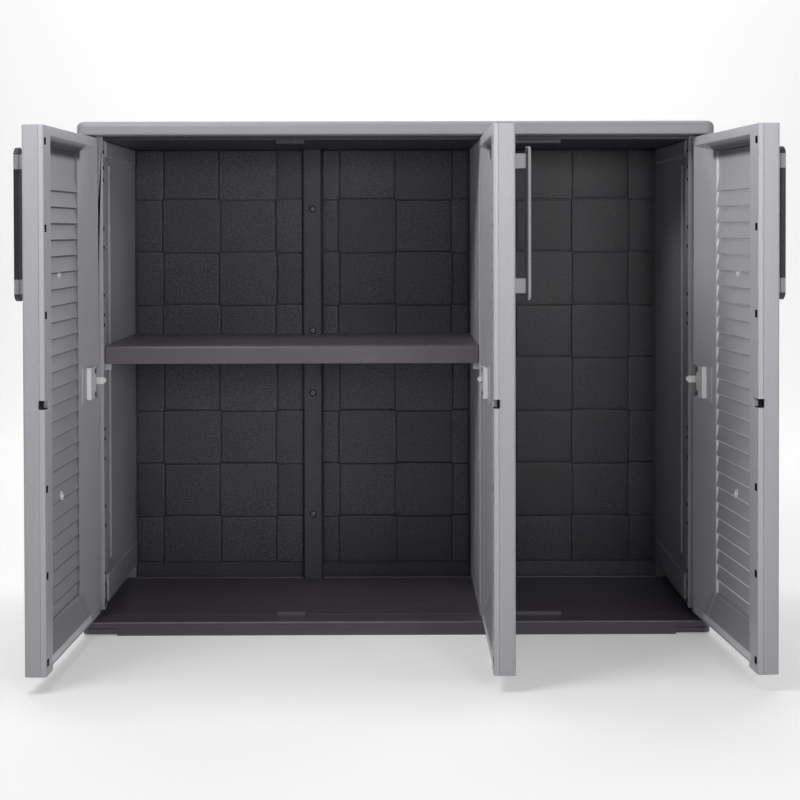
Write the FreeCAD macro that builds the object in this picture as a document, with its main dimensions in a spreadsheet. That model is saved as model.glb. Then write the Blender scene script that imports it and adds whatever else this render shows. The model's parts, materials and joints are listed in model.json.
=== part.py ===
import FreeCAD, Part
import os
import Sketcher

# Low three-door garden cabinet in moulded resin.
# +Z is up, the doors face -Y, and the origin is the middle of the base's underside.
# The model stands with its three doors open, as it is drawn.

SIZES = [
    # Overall
    ("base_width", "1010", "base tray, side to side"),
    ("base_depth", "350", "base tray, front to back"),
    ("total_height", "825", "floor to roof top"),
    ("roof_over_side", "6", "roof beyond the base at each side"),
    ("roof_over_front", "4", "roof beyond the base at front and back"),
    ("roof_thick", "22", "roof edge height"),
    ("roof_skin", "12", "roof left above the pin sockets"),
    ("roof_corner", "16", "roof corner radius in plan"),
    ("roof_nose", "10", "bullnose radius on the roof's top edge"),
    ("roof_groove_inset", "40", "rain groove, in from the roof edge"),
    ("roof_groove_width", "6", "rain groove width"),
    ("roof_groove_depth", "1.5", "rain groove depth"),
    ("liner_drop", "6", "roof liner below the roof edge"),
    ("liner_rise", "8", "roof liner up inside the roof"),
    # Base tray
    ("base_high", "22", "ledge under the doors"),
    ("base_corner", "12", "base corner radius"),
    ("base_edge", "2.5", "rounding of the base's top edge"),
    ("floor_drop", "4", "floor below the ledge"),
    ("rim_wide", "5", "rim outside the floor"),
    ("front_ledge", "33", "base front to the posts' front"),
    ("ledge_inside", "16", "ledge behind the posts' front"),
    ("foot_long", "56", "corner foot along the front"),
    ("foot_lift", "2.5", "corner foot clear of the ground"),
    ("foot_groove", "2", "groove in the corner foot"),
    ("coring_depth", "12", "coring under the base"),
    ("coring_web", "12", "web between the corings"),
    ("floor_lip", "3", "lip in front of the back, its width"),
    ("floor_lip_high", "2", "that lip above the floor"),
    # Walls
    ("wall_thick", "25", "side wall"),
    ("wall_play", "0.5", "side wall to the base rim"),
    ("wall_tongue", "9.5", "tongue that stands on the floor"),
    ("skirt_lift", "26", "lower edge of the side wall above the floor"),
    ("post_lift", "12", "lower end of the front post above the ledge"),
    ("post_deep", "28", "front post, front to back"),
    ("field_deep", "112", "sunk field behind the front post"),
    ("field_sink", "12", "depth of the sunk field"),
    ("field_slope", "24", "run of the field's sloping back side"),
    ("rail_high", "43", "rounded rail below the sunk field"),
    ("field_top_gap", "33", "sunk field below the roof edge"),
    ("rib_wide", "3", "upright rib in the sunk field"),
    ("rib_proud", "3.5", "rib above the sunk field"),
    ("rib_place", "78", "rib behind the front post"),
    ("rib_short", "10", "rib short of the field's ends"),
    ("rail_proud", "3", "rounded rails proud of the side wall"),
    ("rail_round", "2.8", "rounding of those rails"),
    ("post_slot_deep", "8", "depth of the slots in the front post"),
    ("post_slot_wide", "11", "those slots, front to back"),
    ("post_slot_high", "5", "height of those slots"),
    ("post_slot_back", "9", "middle of those slots behind the post's front"),
    ("outer_rib", "6", "rib between the outer fields of a side wall"),
    ("divider_thick", "31", "divider between the compartments"),
    ("channel_deep", "8", "divider's back edge in its channel"),
    ("channel_gap", "3", "channel beside the divider"),
    # Back
    ("back_thick", "18", "back panel over its tiles"),
    ("back_margin", "8", "back panel in from the base's back"),
    ("tile_wide", "102.5", "basket tile, across"),
    ("tile_high", "96", "basket tile, up"),
    ("tile_middle", "419", "height of the tile row line at mid-height"),
    ("kick_high", "28.5", "lowest tile edge above the floor"),
    ("tile_proud", "2.5", "raised tile above its neighbour"),
    ("tile_gap", "0.8", "line round a raised tile"),
    ("tile_edge", "1.2", "rounding of a raised tile"),
    ("tile_margin", "4", "tiles in from the side walls"),
    ("kick_sink", "5", "band under the tiles, behind the plate's face"),
    ("panel_gap", "1", "joint between back panels"),
    ("column_wide", "33", "cover strip on the back joint"),
    ("column_deep", "12", "cover strip in front of the tiles"),
    ("column_edge", "3", "rounding of the cover strip"),
    ("column_screw_inner", "56", "inner screws from mid-height"),
    ("column_screw_outer", "277", "outer screws from mid-height"),
    ("counterbore", "6", "radius of the wells for the column screws"),
    ("counterbore_deep", "4", "depth of those wells"),
    # Shelf
    ("shelf_top", "463.5", "top of the shelf"),
    ("shelf_thick", "30", "shelf front lip"),
    ("shelf_skin", "4", "shelf plate over its corings"),
    ("shelf_rim", "6", "rim round the shelf"),
    ("shelf_play", "1", "shelf to the walls"),
    ("shelf_front", "8", "shelf behind the posts' front"),
    ("shelf_nose", "7", "rounding of the shelf's front edge"),
    ("peg_size", "10", "shelf peg, square"),
    ("peg_spigot", "4", "radius of the peg's spigot"),
    ("peg_front", "18", "front pegs behind the posts' front"),
    ("peg_back", "206", "back pegs behind the posts' front"),
    # Doors
    ("door_thick", "31", "door, face to face"),
    ("door_gap", "2.5", "gap between the left and middle doors"),
    ("hinge_gap", "6.5", "gap between the middle and right doors"),
    ("pivot_inset", "10.5", "hinge axis in from the base's side"),
    ("front_gap", "1", "closed door to the posts"),
    ("door_lift", "10", "lower edge of the door above the ledge"),
    ("stile_lift", "2.5", "lower end of the free stile above the ledge"),
    ("door_top_gap", "4", "door below the roof edge"),
    ("door_edge", "4", "rounding of the free edge"),
    ("stile_wide", "38.5", "free stile"),
    ("shell_wall", "4.5", "walls of the outer shell"),
    ("shell_face", "7", "outer shell, face thickness"),
    ("hinge_stile", "10", "solid hinge stile past the axis"),
    ("part_line", "7.5", "joint line, outward of the inner face"),
    ("recess_depth", "17", "sunk field on the inner face"),
    ("recess_wall", "3", "wall of the sunk field"),
    ("recess_hinge_top", "2", "hinge side slope, upper end"),
    ("recess_hinge_low", "80", "hinge side slope, lower end"),
    ("recess_free_draft", "7", "free side wall, run of its slope"),
    ("recess_step", "3", "last step down to the louvres"),
    ("recess_top", "14", "sunk field below the door's top"),
    ("recess_top_draft", "12", "top wall, run of its slope"),
    ("recess_low", "14", "sunk field above the door's lower edge"),
    ("recess_low_draft", "36", "bottom wall, run of its slope"),
    ("slat_pitch", "24.3", "louvre pitch"),
    ("slat_start", "20.8", "lowest louvre edge above the end of the sunk field"),
    ("slat_rise", "3.5", "louvre edge above the field"),
    ("outer_field_start", "36", "outer field from the hinge axis"),
    ("outer_field_end", "92", "outer field in from the free edge"),
    ("outer_field_margin", "46", "outer field in from top and bottom"),
    ("outer_field_sink", "4", "depth of the outer field"),
    ("clip_pitch", "122.2", "snap slots, up the door"),
    ("clip_slot", "10", "snap slot, square"),
    ("clip_deep", "9", "snap slot depth on the free side, through the rim"),
    ("clip_hinge_deep", "14", "snap slot depth on the hinge side"),
    ("clip_hinge_wide", "6", "snap slot on the hinge side, across"),
    ("clip_free_edge", "11", "snap slots in from the free edge"),
    ("notch_high", "12", "latch notch height"),
    ("notch_wide", "21", "latch notch in from the free edge"),
    ("notch_deep", "9", "latch notch depth"),
    # Hinges
    ("pin_radius", "5", "pivot pin"),
    ("pin_play", "0.1", "pivot pin in its socket"),
    ("pin_seat", "25", "pivot pin inside the door"),
    ("pin_reach", "10", "pivot pin beyond the roof edge or ledge"),
    ("socket_extra", "2", "socket deeper than the pin"),
    ("hinge_high", "407.5", "middle hinge height"),
    ("hinge_half", "25.5", "half height of the hinge leaf"),
    ("knuckle_radius", "6.5", "hinge knuckle"),
    ("hinge_pin", "3", "middle hinge pin"),
    ("arm_half", "5", "half height of the clip arm"),
    ("arm_gap", "0.5", "clip arm to the knuckles"),
    ("knuckle_high", "9.5", "each knuckle of the leaf"),
    ("leaf_start", "8", "leaf from the hinge axis"),
    ("leaf_end", "41", "far end of the leaf"),
    ("leaf_low", "6", "seat of the leaf, above the door's middle"),
    ("leaf_thick", "7", "hinge leaf"),
    ("leaf_step", "3", "knuckle web below the leaf's face"),
    ("boss_end", "62", "hinge boss from the hinge axis"),
    ("boss_wall", "3", "wall round the hinge boss"),
    ("boss_floor", "7", "clip arm's pocket past the door's middle"),
    ("hinge_screw_high", "18.7", "leaf screws from the hinge height"),
    ("hinge_screw_place", "15", "leaf screws from the hinge axis"),
    ("clip_plate", "2", "clip plate let into the post"),
    ("clip_plate_half", "5.5", "half height of the clip plate"),
    ("clip_tab", "1.5", "clip tab on the inner face"),
    ("clip_tab_half", "4", "half height of the clip tab"),
    ("clip_tab_deep", "10", "clip tab, front to back"),
    ("clip_head", "2.5", "radius of the screw head on the tab"),
    # Handles
    ("handle_place", "64.5", "handle middle from the free edge"),
    ("handle_low", "549", "lower tip of the handle"),
    ("handle_long", "221", "handle, tip to tip"),
    ("handle_wide", "26", "handle bar width"),
    ("handle_foot", "20", "handle foot, across"),
    ("handle_reach", "19.5", "finger gap behind the bar"),
    ("cover_thick", "4", "outer layer of the bar"),
    ("grip_thick", "3", "grip behind the bar"),
    ("foot_inset", "10.6", "handle foot in from the tip"),
    ("foot_high", "21", "handle foot height"),
    ("handle_edge", "1", "rounding of the bar"),
    ("handle_screw", "2.5", "handle screw"),
    ("handle_screw_in", "12", "handle screw inside the foot"),
    # Stops
    ("stop_wide", "46", "stop where two doors meet"),
    ("stop_single", "85", "stop behind the right door"),
    ("stop_single_in", "10", "that stop in from the door's edge"),
    ("stop_high", "6", "stop above its seat"),
    ("stop_back", "3", "stop behind the posts' front"),
    ("stop_deep", "11", "stop, front to back"),
    # Fasteners
    ("screw_head", "4.5", "radius of a screw head"),
    ("screw_head_high", "2.5", "height of a screw head"),
    ("screw_shank", "2", "radius of a screw shank"),
    ("seat_play", "0.05", "play round a pin fixed in its own piece"),
    # How far the doors stand open
    ("left_open", "92.2", "left door"),
    ("middle_open", "90", "middle door"),
    ("right_open", "94.8", "right door"),
]

OVER = "1"  # how far a cutting tool passes the face it opens

doc = FreeCAD.newDocument("garden_cabinet")
sheet = doc.addObject("Spreadsheet::Sheet", "dim")
for line, (alias, size, meaning) in enumerate(SIZES, start=1):
    sheet.set(f"A{line}", meaning)
    sheet.set(f"B{line}", size)
    sheet.setAlias(f"B{line}", alias)
doc.recompute()

# Planes and places that several pieces share
FRONT = "(-dim.base_depth / 2 + dim.front_ledge)"
BACK = "(dim.base_depth / 2 - dim.back_margin)"
BACK_PLATE = f"({BACK} - dim.back_thick + dim.tile_proud)"
TILE_FACE = f"({BACK} - dim.back_thick)"
ROOF_LOW = "(dim.total_height - dim.roof_thick)"
CEILING = f"({ROOF_LOW} - dim.liner_drop)"
FLOOR = "(dim.base_high - dim.floor_drop)"
WALL_SKIRT = f"({FLOOR} + dim.skirt_lift)"
FIELD_LOW = f"({WALL_SKIRT} + dim.rail_high)"
TILE_LOW = f"({FLOOR} + dim.kick_high)"
WALL_OUT = "(dim.base_width / 2 - dim.rim_wide - dim.wall_play)"
WALL_IN = f"({WALL_OUT} - dim.wall_thick)"
MID_HIGH = "(dim.total_height / 2)"
HALF = "(dim.door_thick / 2)"
AXIS_X = "(dim.base_width / 2 - dim.pivot_inset)"
AXIS_Y = f"({FRONT} - dim.front_gap - {HALF})"
HALF_FRONT = f"({AXIS_X} + {HALF})"
DOOR_WIDE = f"((2 * {HALF_FRONT} - dim.door_gap - dim.hinge_gap) / 3)"
MIDDLE_AXIS = f"({HALF_FRONT} - {DOOR_WIDE} - dim.hinge_gap - {HALF})"
DIVIDER_LEFT = f"({MIDDLE_AXIS} - dim.divider_thick / 2)"
DIVIDER_RIGHT = f"({MIDDLE_AXIS} + dim.divider_thick / 2)"
DOOR_LOW = "(dim.base_high + dim.door_lift)"
DOOR_TOP = f"({ROOF_LOW} - dim.door_top_gap)"
SLAT_FIRST = f"({DOOR_LOW} + dim.recess_low + dim.recess_low_draft + dim.slat_start)"
SLAT_COUNT = f"floor(({DOOR_TOP} - dim.outer_field_margin - {SLAT_FIRST}) / dim.slat_pitch)"
FREE = f"({DOOR_WIDE} - {HALF})"
SHELF_LOW = "(dim.shelf_top - dim.shelf_thick)"
SLOT_MIDDLE = "(dim.hinge_high + 2)"

DOORS = (
    ("left_door", 1, f"-{AXIS_X}", "-dim.left_open"),
    ("middle_door", -1, MIDDLE_AXIS, "dim.middle_open"),
    ("right_door", -1, AXIS_X, "dim.right_open"),
)
POST_SLOTS = (85, 101, 133, 211, 242, 320, 340, 366)  # slots above and below mid-height
POST_SLOT_SCALE = 825  # the cabinet height that those places belong to
nodes = []


def num(text):
    """The value of an expression on the sheet, as a plain number."""
    value = sheet.evalExpression(text)
    return float(getattr(value, "Value", value))


def span(hand, near, far):
    """A stretch along X, mirrored when hand is -1."""
    if hand > 0:
        return near, far
    return f"-({far})", f"-({near})"


def box(name, x, y, z):
    """A block between three pairs of planes."""
    solid = doc.addObject("Part::Box", name)
    for size, place, (low, high) in (("Length", "x", x), ("Width", "y", y), ("Height", "z", z)):
        solid.setExpression(size, f"({high}) - ({low})")
        solid.setExpression(f"Placement.Base.{place}", low)
    return solid


def rod(name, radius, along, ends, x="0", y="0", z="0"):
    """A cylinder along X, Y or Z from ends[0] to ends[1], with its axis through the point given."""
    solid = doc.addObject("Part::Cylinder", name)
    solid.setExpression("Radius", radius)
    solid.setExpression("Height", f"({ends[1]}) - ({ends[0]})")
    turn = {"X": (0, 1, 0, 90), "Y": (1, 0, 0, -90), "Z": (0, 0, 1, 0)}[along]
    direction = FreeCAD.Vector(*turn[:3])
    solid.Placement = FreeCAD.Placement(FreeCAD.Vector(), FreeCAD.Rotation(direction, turn[3]))
    centre = {"X": x, "Y": y, "Z": z}
    centre[along] = ends[0]
    for axis, value in centre.items():
        solid.setExpression(f"Placement.Base.{axis.lower()}", value)
    return solid


def frustum(name, low_x, low_z, high_x, high_z, y):
    """A block whose rectangle changes evenly from y[0] to y[1]."""
    solid = doc.addObject("Part::Wedge", name)
    pairs = (("Xmin", "Xmax", low_x), ("Zmin", "Zmax", low_z), ("X2min", "X2max", high_x),
             ("Z2min", "Z2max", high_z), ("Ymin", "Ymax", y))
    for first, second, (low, high) in pairs:
        solid.setExpression(first, low)
        solid.setExpression(second, high)
    return solid


def fuse(name, shapes):
    joined = doc.addObject("Part::MultiFuse", name)
    joined.Shapes = shapes
    return joined


def common(name, base, tool):
    shared = doc.addObject("Part::Common", name)
    shared.Base = base
    shared.Tool = tool
    return shared


def cut(name, base, tools):
    """Base without the tools."""
    result = doc.addObject("Part::Cut", name)
    result.Base = base
    result.Tool = tools[0] if len(tools) == 1 else fuse(f"{name}_tools", tools)
    return result


def rounded(name, solid, radius, chosen):
    """Round the edges of a solid that chosen(edge) picks."""
    doc.recompute()
    size = num(radius)
    fillet = doc.addObject("Part::Fillet", name)
    fillet.Base = solid
    picked = [i for i, edge in enumerate(solid.Shape.Edges, start=1) if chosen(edge)]
    fillet.Edges = [(i, size, size) for i in picked]
    return fillet


def is_upright(edge):
    box_of = edge.BoundBox
    return box_of.ZLength > 1 and box_of.XLength < 0.01 and box_of.YLength < 0.01


def outline_body(name, plane, points, low, high):
    """A body padded from a closed outline, each corner tied to the sheet."""
    body = doc.addObject("PartDesign::Body", name)
    sketch = body.newObject("Sketcher::SketchObject", f"{name}_sketch")
    support = next(f for f in body.Origin.OriginFeatures if f.Role == plane)
    sketch.AttachmentSupport = [(support, "")]
    sketch.MapMode = "FlatFace"
    sketch.setExpression("AttachmentOffset.Base.z", low)
    corners = [FreeCAD.Vector(num(a), num(b), 0) for a, b in points]
    count = len(corners)
    for i in range(count):
        sketch.addGeometry(Part.LineSegment(corners[i], corners[(i + 1) % count]), False)
    for i in range(count):
        sketch.addConstraint(Sketcher.Constraint("Coincident", i, 2, (i + 1) % count, 1))
    for i, point in enumerate(points):
        for axis, place, kind in ((0, "across", "DistanceX"), (1, "up", "DistanceY")):
            value = num(point[axis])
            number = sketch.addConstraint(Sketcher.Constraint(kind, -1, 1, i, 1, value))
            sketch.renameConstraint(number, f"{place}_{i}")
            sketch.setExpression(f"Constraints.{place}_{i}", point[axis])
    pad = body.newObject("PartDesign::Pad", f"{name}_pad")
    pad.Profile = sketch
    pad.setExpression("Length", f"({high}) - ({low})")
    doc.recompute()
    return body


def body_fillet(body, radius, chosen):
    """Round the edges of a body's last feature that chosen(edge) picks."""
    base = body.Tip
    names = [f"Edge{i}" for i, edge in enumerate(base.Shape.Edges, start=1) if chosen(edge)]
    fillet = body.newObject("PartDesign::Fillet", f"{body.Name}_round")
    fillet.Base = (base, names)
    fillet.setExpression("Radius", radius)
    doc.recompute()
    return body


def rectangle(x, y):
    return [(x[0], y[0]), (x[1], y[0]), (x[1], y[1]), (x[0], y[1])]


def keep(obj, label, place=None):
    """Mark an object as a piece of the cabinet, under the name of its node."""
    obj.Label = label
    if place:
        x, y, turn = place
        obj.Placement = FreeCAD.Placement(FreeCAD.Vector(), FreeCAD.Rotation(FreeCAD.Vector(0, 0, 1), 1))
        obj.setExpression("Placement.Base.x", x)
        obj.setExpression("Placement.Base.y", y)
        obj.setExpression("Placement.Rotation.Angle", turn)
    nodes.append(obj)


def stops(name, low, high):
    """The two raised stops that closed doors meet, at the foot or under the roof."""
    meeting = f"(-{HALF_FRONT} + {DOOR_WIDE} + dim.door_gap / 2)"
    single = f"({HALF_FRONT} - {DOOR_WIDE} + dim.stop_single_in)"
    y = (f"{FRONT} + dim.stop_back", f"{FRONT} + dim.stop_back + dim.stop_deep")
    pair = box(f"{name}_pair_stop", (f"{meeting} - dim.stop_wide / 2", f"{meeting} + dim.stop_wide / 2"),
               y, (low, high))
    lone = box(f"{name}_single_stop", (single, f"{single} + dim.stop_single"), y, (low, high))
    return [pair, lone]


def sockets(name, low, high):
    """Sockets for the three doors' pivot pins."""
    return [rod(f"{name}_{door}_socket", "dim.pin_radius + dim.pin_play", "Z", (low, high), x, AXIS_Y)
            for door, _, x, _ in DOORS]


def make_base_tray():
    half_x, half_y = "dim.base_width / 2", "dim.base_depth / 2"
    block = outline_body("base_block", "XY_Plane",
                         rectangle((f"-{half_x}", half_x), (f"-{half_y}", half_y)), "0", "dim.base_high")
    body_fillet(block, "dim.base_corner", is_upright)
    top = num("dim.base_high")
    body_fillet(block, "dim.base_edge", lambda e: e.BoundBox.ZMin > top - 0.01)
    floor_x = "dim.base_width / 2 - dim.rim_wide"
    tools = [box("floor_space", (f"-({floor_x})", floor_x), (f"{FRONT} + dim.ledge_inside", BACK),
                 (FLOOR, f"dim.base_high + {OVER}"))]
    columns = 4
    pitch = f"(dim.base_width / {columns})"
    for i in range(columns):
        left = f"-dim.base_width / 2 + {pitch} * {i}"
        x = (f"{left} + dim.coring_web", f"{left} + {pitch} - dim.coring_web")
        for row, (low, high) in enumerate(((f"-{half_y}", "0"), ("0", half_y))):
            y = (f"{low} + 3 * dim.coring_web", f"{high} - 3 * dim.coring_web")
            tools.append(box(f"coring_{i}_{row}", x, y, (f"-{OVER}", "dim.coring_depth")))
    for hand in (-1, 1):
        foot = span(hand, "dim.base_width / 2 - dim.foot_long", f"dim.base_width / 2 + {OVER}")
        for side in (-1, 1):
            y = span(side, f"{half_y} - dim.front_ledge", f"{half_y} + {OVER}")
            tools.append(box(f"foot_lift_{side + 1}_{hand + 1}", foot, y, (f"-{OVER}", "dim.foot_lift")))
        tools.append(box(f"foot_groove_{hand + 1}", foot,
                         (f"-{half_y} - {OVER}", f"-{half_y} + dim.foot_groove"),
                         ("dim.base_high / 2", "dim.base_high / 2 + dim.foot_groove")))
    socket_low = "dim.base_high - dim.pin_reach - 2 * dim.socket_extra"
    tools += sockets("base", socket_low, f"dim.base_high + {OVER}")
    tray = cut("base_tray_cut", block, tools)
    lip_back = f"{TILE_FACE} - dim.wall_play"
    lip_x = f"{WALL_OUT} - dim.wall_tongue - dim.wall_play"
    lip = box("floor_lip_bar", (f"-({lip_x})", lip_x), (f"{lip_back} - dim.floor_lip", lip_back),
              (f"{FLOOR} - {OVER}", f"{FLOOR} + dim.floor_lip_high"))
    half_gap = "(dim.column_wide / 2 + dim.shelf_play)"
    lip_gaps = []
    for name, middle in (("column", f"-{MIDDLE_AXIS}"), ("divider", MIDDLE_AXIS)):
        lip_gaps.append(box(f"floor_lip_{name}_gap", (f"{middle} - {half_gap}", f"{middle} + {half_gap}"),
                            (f"{lip_back} - dim.floor_lip - {OVER}", BACK),
                            (FLOOR, "dim.base_high")))
    tray_stops = stops("base", "dim.base_high - dim.stop_high / 2", "dim.base_high + dim.stop_high")
    keep(fuse("base_tray", [tray, cut("floor_lip_line", lip, lip_gaps)] + tray_stops), "base_tray")


def make_roof():
    half_x = "(dim.base_width / 2 + dim.roof_over_side)"
    half_y = "(dim.base_depth / 2 + dim.roof_over_front)"
    block = outline_body("roof_block", "XY_Plane",
                         rectangle((f"-{half_x}", half_x), (f"-{half_y}", half_y)),
                         ROOF_LOW, "dim.total_height")
    body_fillet(block, "dim.roof_corner", is_upright)
    top = num("dim.total_height")
    body_fillet(block, "dim.roof_nose", lambda e: e.BoundBox.ZMin > top - 0.01)
    low = num(ROOF_LOW)
    body_fillet(block, "dim.base_edge", lambda e: e.BoundBox.ZMax < low + 0.01)
    inner_x = f"{WALL_IN} - dim.wall_play"
    liner_top = f"{ROOF_LOW} + dim.liner_rise"
    tools = [box("liner_space", (f"-{WALL_IN}", WALL_IN), (FRONT, BACK), (f"{ROOF_LOW} - {OVER}", liner_top))]
    tools += sockets("roof", f"{ROOF_LOW} - {OVER}", f"{ROOF_LOW} + dim.pin_reach + dim.socket_extra")
    inset, wide = "dim.roof_groove_inset", "dim.roof_groove_width"
    groove_z = ("dim.total_height - dim.roof_groove_depth", f"dim.total_height + {OVER}")
    outer = box("groove_outer", (f"-{half_x} + {inset}", f"{half_x} - {inset}"),
                (f"-{half_y} + {inset}", f"{half_y} - {inset}"), groove_z)
    within = f"{inset} - {wide}"
    inner = box("groove_inner", (f"-{half_x} + {inset} + {wide}", f"{half_x} - {within}"),
                (f"-{half_y} + {inset} + {wide}", f"{half_y} - {within}"), groove_z)
    tools.append(cut("rain_groove", outer, [inner]))
    keep(cut("roof_cover", block, tools), "roof_cover")
    plate = box("liner_plate", (f"-({inner_x})", inner_x),
                (f"{FRONT} + dim.wall_play", f"{BACK} - dim.wall_play"), (CEILING, liner_top))
    liner_stops = stops("liner", f"{CEILING} - dim.stop_high", f"{CEILING} + dim.stop_high / 2")
    keep(fuse("roof_liner", [plate] + liner_stops), "roof_liner")


def wall_field(name, hand):
    """The sunk field behind a front post, less its upright rib; its back side slopes."""
    y_low = f"{FRONT} + dim.post_deep"
    y_high = f"{y_low} + dim.field_deep"
    deep = f"({WALL_IN} + dim.field_sink)"
    corners = [(f"{WALL_IN} - {OVER}", y_low), (deep, y_low), (deep, f"{y_high} - dim.field_slope"),
               (WALL_IN, y_high), (f"{WALL_IN} - {OVER}", y_high)]
    outline = [(across if hand > 0 else f"-({across})", along) for across, along in corners]
    top = f"{ROOF_LOW} - dim.field_top_gap"
    field = outline_body(f"{name}_field", "XY_Plane", outline, FIELD_LOW, top)
    rib = box(f"{name}_rib", span(hand, f"{deep} - dim.rib_proud", f"{deep} + {OVER}"),
              (f"{y_low} + dim.rib_place", f"{y_low} + dim.rib_place + dim.rib_wide"),
              (f"{FIELD_LOW} + dim.rib_short", f"{top} - dim.rib_short"))
    return cut(f"{name}_sunk", field, [rib])


def wall_rail(name, hand, low, high):
    """A rounded rail along the inner face of a side wall."""
    rail = box(name, span(hand, f"{WALL_IN} - dim.rail_proud", f"{WALL_IN} + {OVER}"),
               (f"{FRONT} + dim.ledge_inside", f"{TILE_FACE} - dim.wall_play"), (low, high))
    inner = num(f"{WALL_IN} - dim.rail_proud")
    return rounded(f"{name}_round", rail, "dim.rail_round",
                   lambda e: abs(e.BoundBox.XMin) < inner + 0.01 and abs(e.BoundBox.XMax) < inner + 0.01)


def post_slots(name, hand, face):
    """Fixing slots up the front post, the same above and below mid-height."""
    slots = []
    middle = f"({FRONT} + dim.post_slot_back)"
    for number, offset in enumerate(POST_SLOTS):
        for side in (-1, 1):
            z = f"({MID_HIGH} + {side * offset} * dim.total_height / {POST_SLOT_SCALE})"
            slots.append(box(f"{name}_slot_{number}_{side + 1}",
                             span(hand, f"{face} - {OVER}", f"{face} + dim.post_slot_deep"),
                             (f"{middle} - dim.post_slot_wide / 2", f"{middle} + dim.post_slot_wide / 2"),
                             (f"{z} - dim.post_slot_high / 2", f"{z} + dim.post_slot_high / 2")))
    return slots


def peg_holes(name, hand, face):
    """Holes for the spigots of the shelf pegs."""
    return [rod(f"{name}_{where}_peg_hole", "dim.peg_spigot + dim.seat_play", "X",
                span(hand, f"{face} - {OVER}", f"{face} + dim.peg_size + dim.seat_play"),
                y=f"{FRONT} + dim.peg_{where}", z=f"{SHELF_LOW} - dim.peg_size / 2")
            for where in ("front", "back")]


def clip_seat(name, x):
    """The place let into a post for a hinge clip's plate."""
    return box(f"{name}_clip_seat", x, (f"{FRONT} - {OVER}", f"{FRONT} + dim.clip_plate"),
               ("dim.hinge_high - dim.clip_plate_half", "dim.hinge_high + dim.clip_plate_half"))


def make_side_wall(side, hand):
    name = f"side_panel_{side}"
    full = span(hand, WALL_IN, WALL_OUT)
    slim = span(hand, f"{WALL_OUT} - dim.wall_tongue", WALL_OUT)
    skirt = f"{WALL_SKIRT} + {OVER}"
    ledge = (FRONT, f"{FRONT} + dim.ledge_inside - dim.wall_play")
    core = box(f"{name}_core", full, (FRONT, BACK), (WALL_SKIRT, ROOF_LOW))
    post = box(f"{name}_post", full, ledge, ("dim.base_high + dim.post_lift", skirt))
    heel = box(f"{name}_heel", slim, ledge, ("dim.base_high", skirt))
    tongue = box(f"{name}_tongue", slim,
                 (f"{FRONT} + dim.ledge_inside + dim.wall_play", f"{BACK} - dim.wall_play"),
                 (FLOOR, skirt))
    back_heel = box(f"{name}_back_heel", full, (TILE_FACE, f"{BACK} - dim.wall_play"),
                    (FLOOR, skirt))
    field_top = f"{ROOF_LOW} - dim.field_top_gap"
    rails = [wall_rail(f"{name}_low_rail", hand, WALL_SKIRT, FIELD_LOW),
             wall_rail(f"{name}_top_rail", hand, field_top, f"{CEILING} - dim.wall_play")]
    solid = fuse(f"{name}_solid", [core, post, heel, tongue, back_heel] + rails)
    tools = [wall_field(name, hand)]
    tools.append(clip_seat(name, span(hand, f"{WALL_IN} - {OVER}", f"{AXIS_X} + dim.knuckle_radius / 2")))
    tools += post_slots(name, hand, WALL_IN)
    if side == "left":
        tools += peg_holes(name, hand, WALL_IN)
    panels = 3
    panel_deep = f"(({BACK} - {FRONT} - 2 * dim.post_deep) / {panels})"
    for i in range(panels):
        y_low = f"{FRONT} + dim.post_deep + {panel_deep} * {i}"
        tools.append(box(f"{name}_outer_field_{i}",
                         span(hand, f"{WALL_OUT} - dim.tile_proud", f"{WALL_OUT} + {OVER}"),
                         (f"{y_low} + dim.outer_rib / 2", f"{y_low} + {panel_deep} - dim.outer_rib / 2"),
                         (FIELD_LOW, field_top)))
    keep(cut(name, solid, tools), name)


def make_divider():
    name = "divider_panel"
    back = f"{BACK_PLATE} + dim.channel_deep - dim.wall_play"
    core = box(f"{name}_core", (DIVIDER_LEFT, DIVIDER_RIGHT), (FRONT, back), ("dim.base_high", CEILING))
    foot = box(f"{name}_foot", (f"{DIVIDER_LEFT} + dim.wall_tongue", f"{DIVIDER_RIGHT} - dim.wall_tongue"),
               (f"{FRONT} + dim.ledge_inside + dim.wall_play", BACK_PLATE), (FLOOR, "dim.base_high"))
    solid = fuse(f"{name}_solid", [core, foot])
    tools = [clip_seat(name, (f"{DIVIDER_LEFT} - {OVER}", f"{DIVIDER_RIGHT} - dim.wall_tongue / 2"))]
    tools += post_slots(name, 1, DIVIDER_LEFT)
    tools += peg_holes(name, 1, DIVIDER_LEFT)
    keep(cut(name, solid, tools), name)


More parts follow.
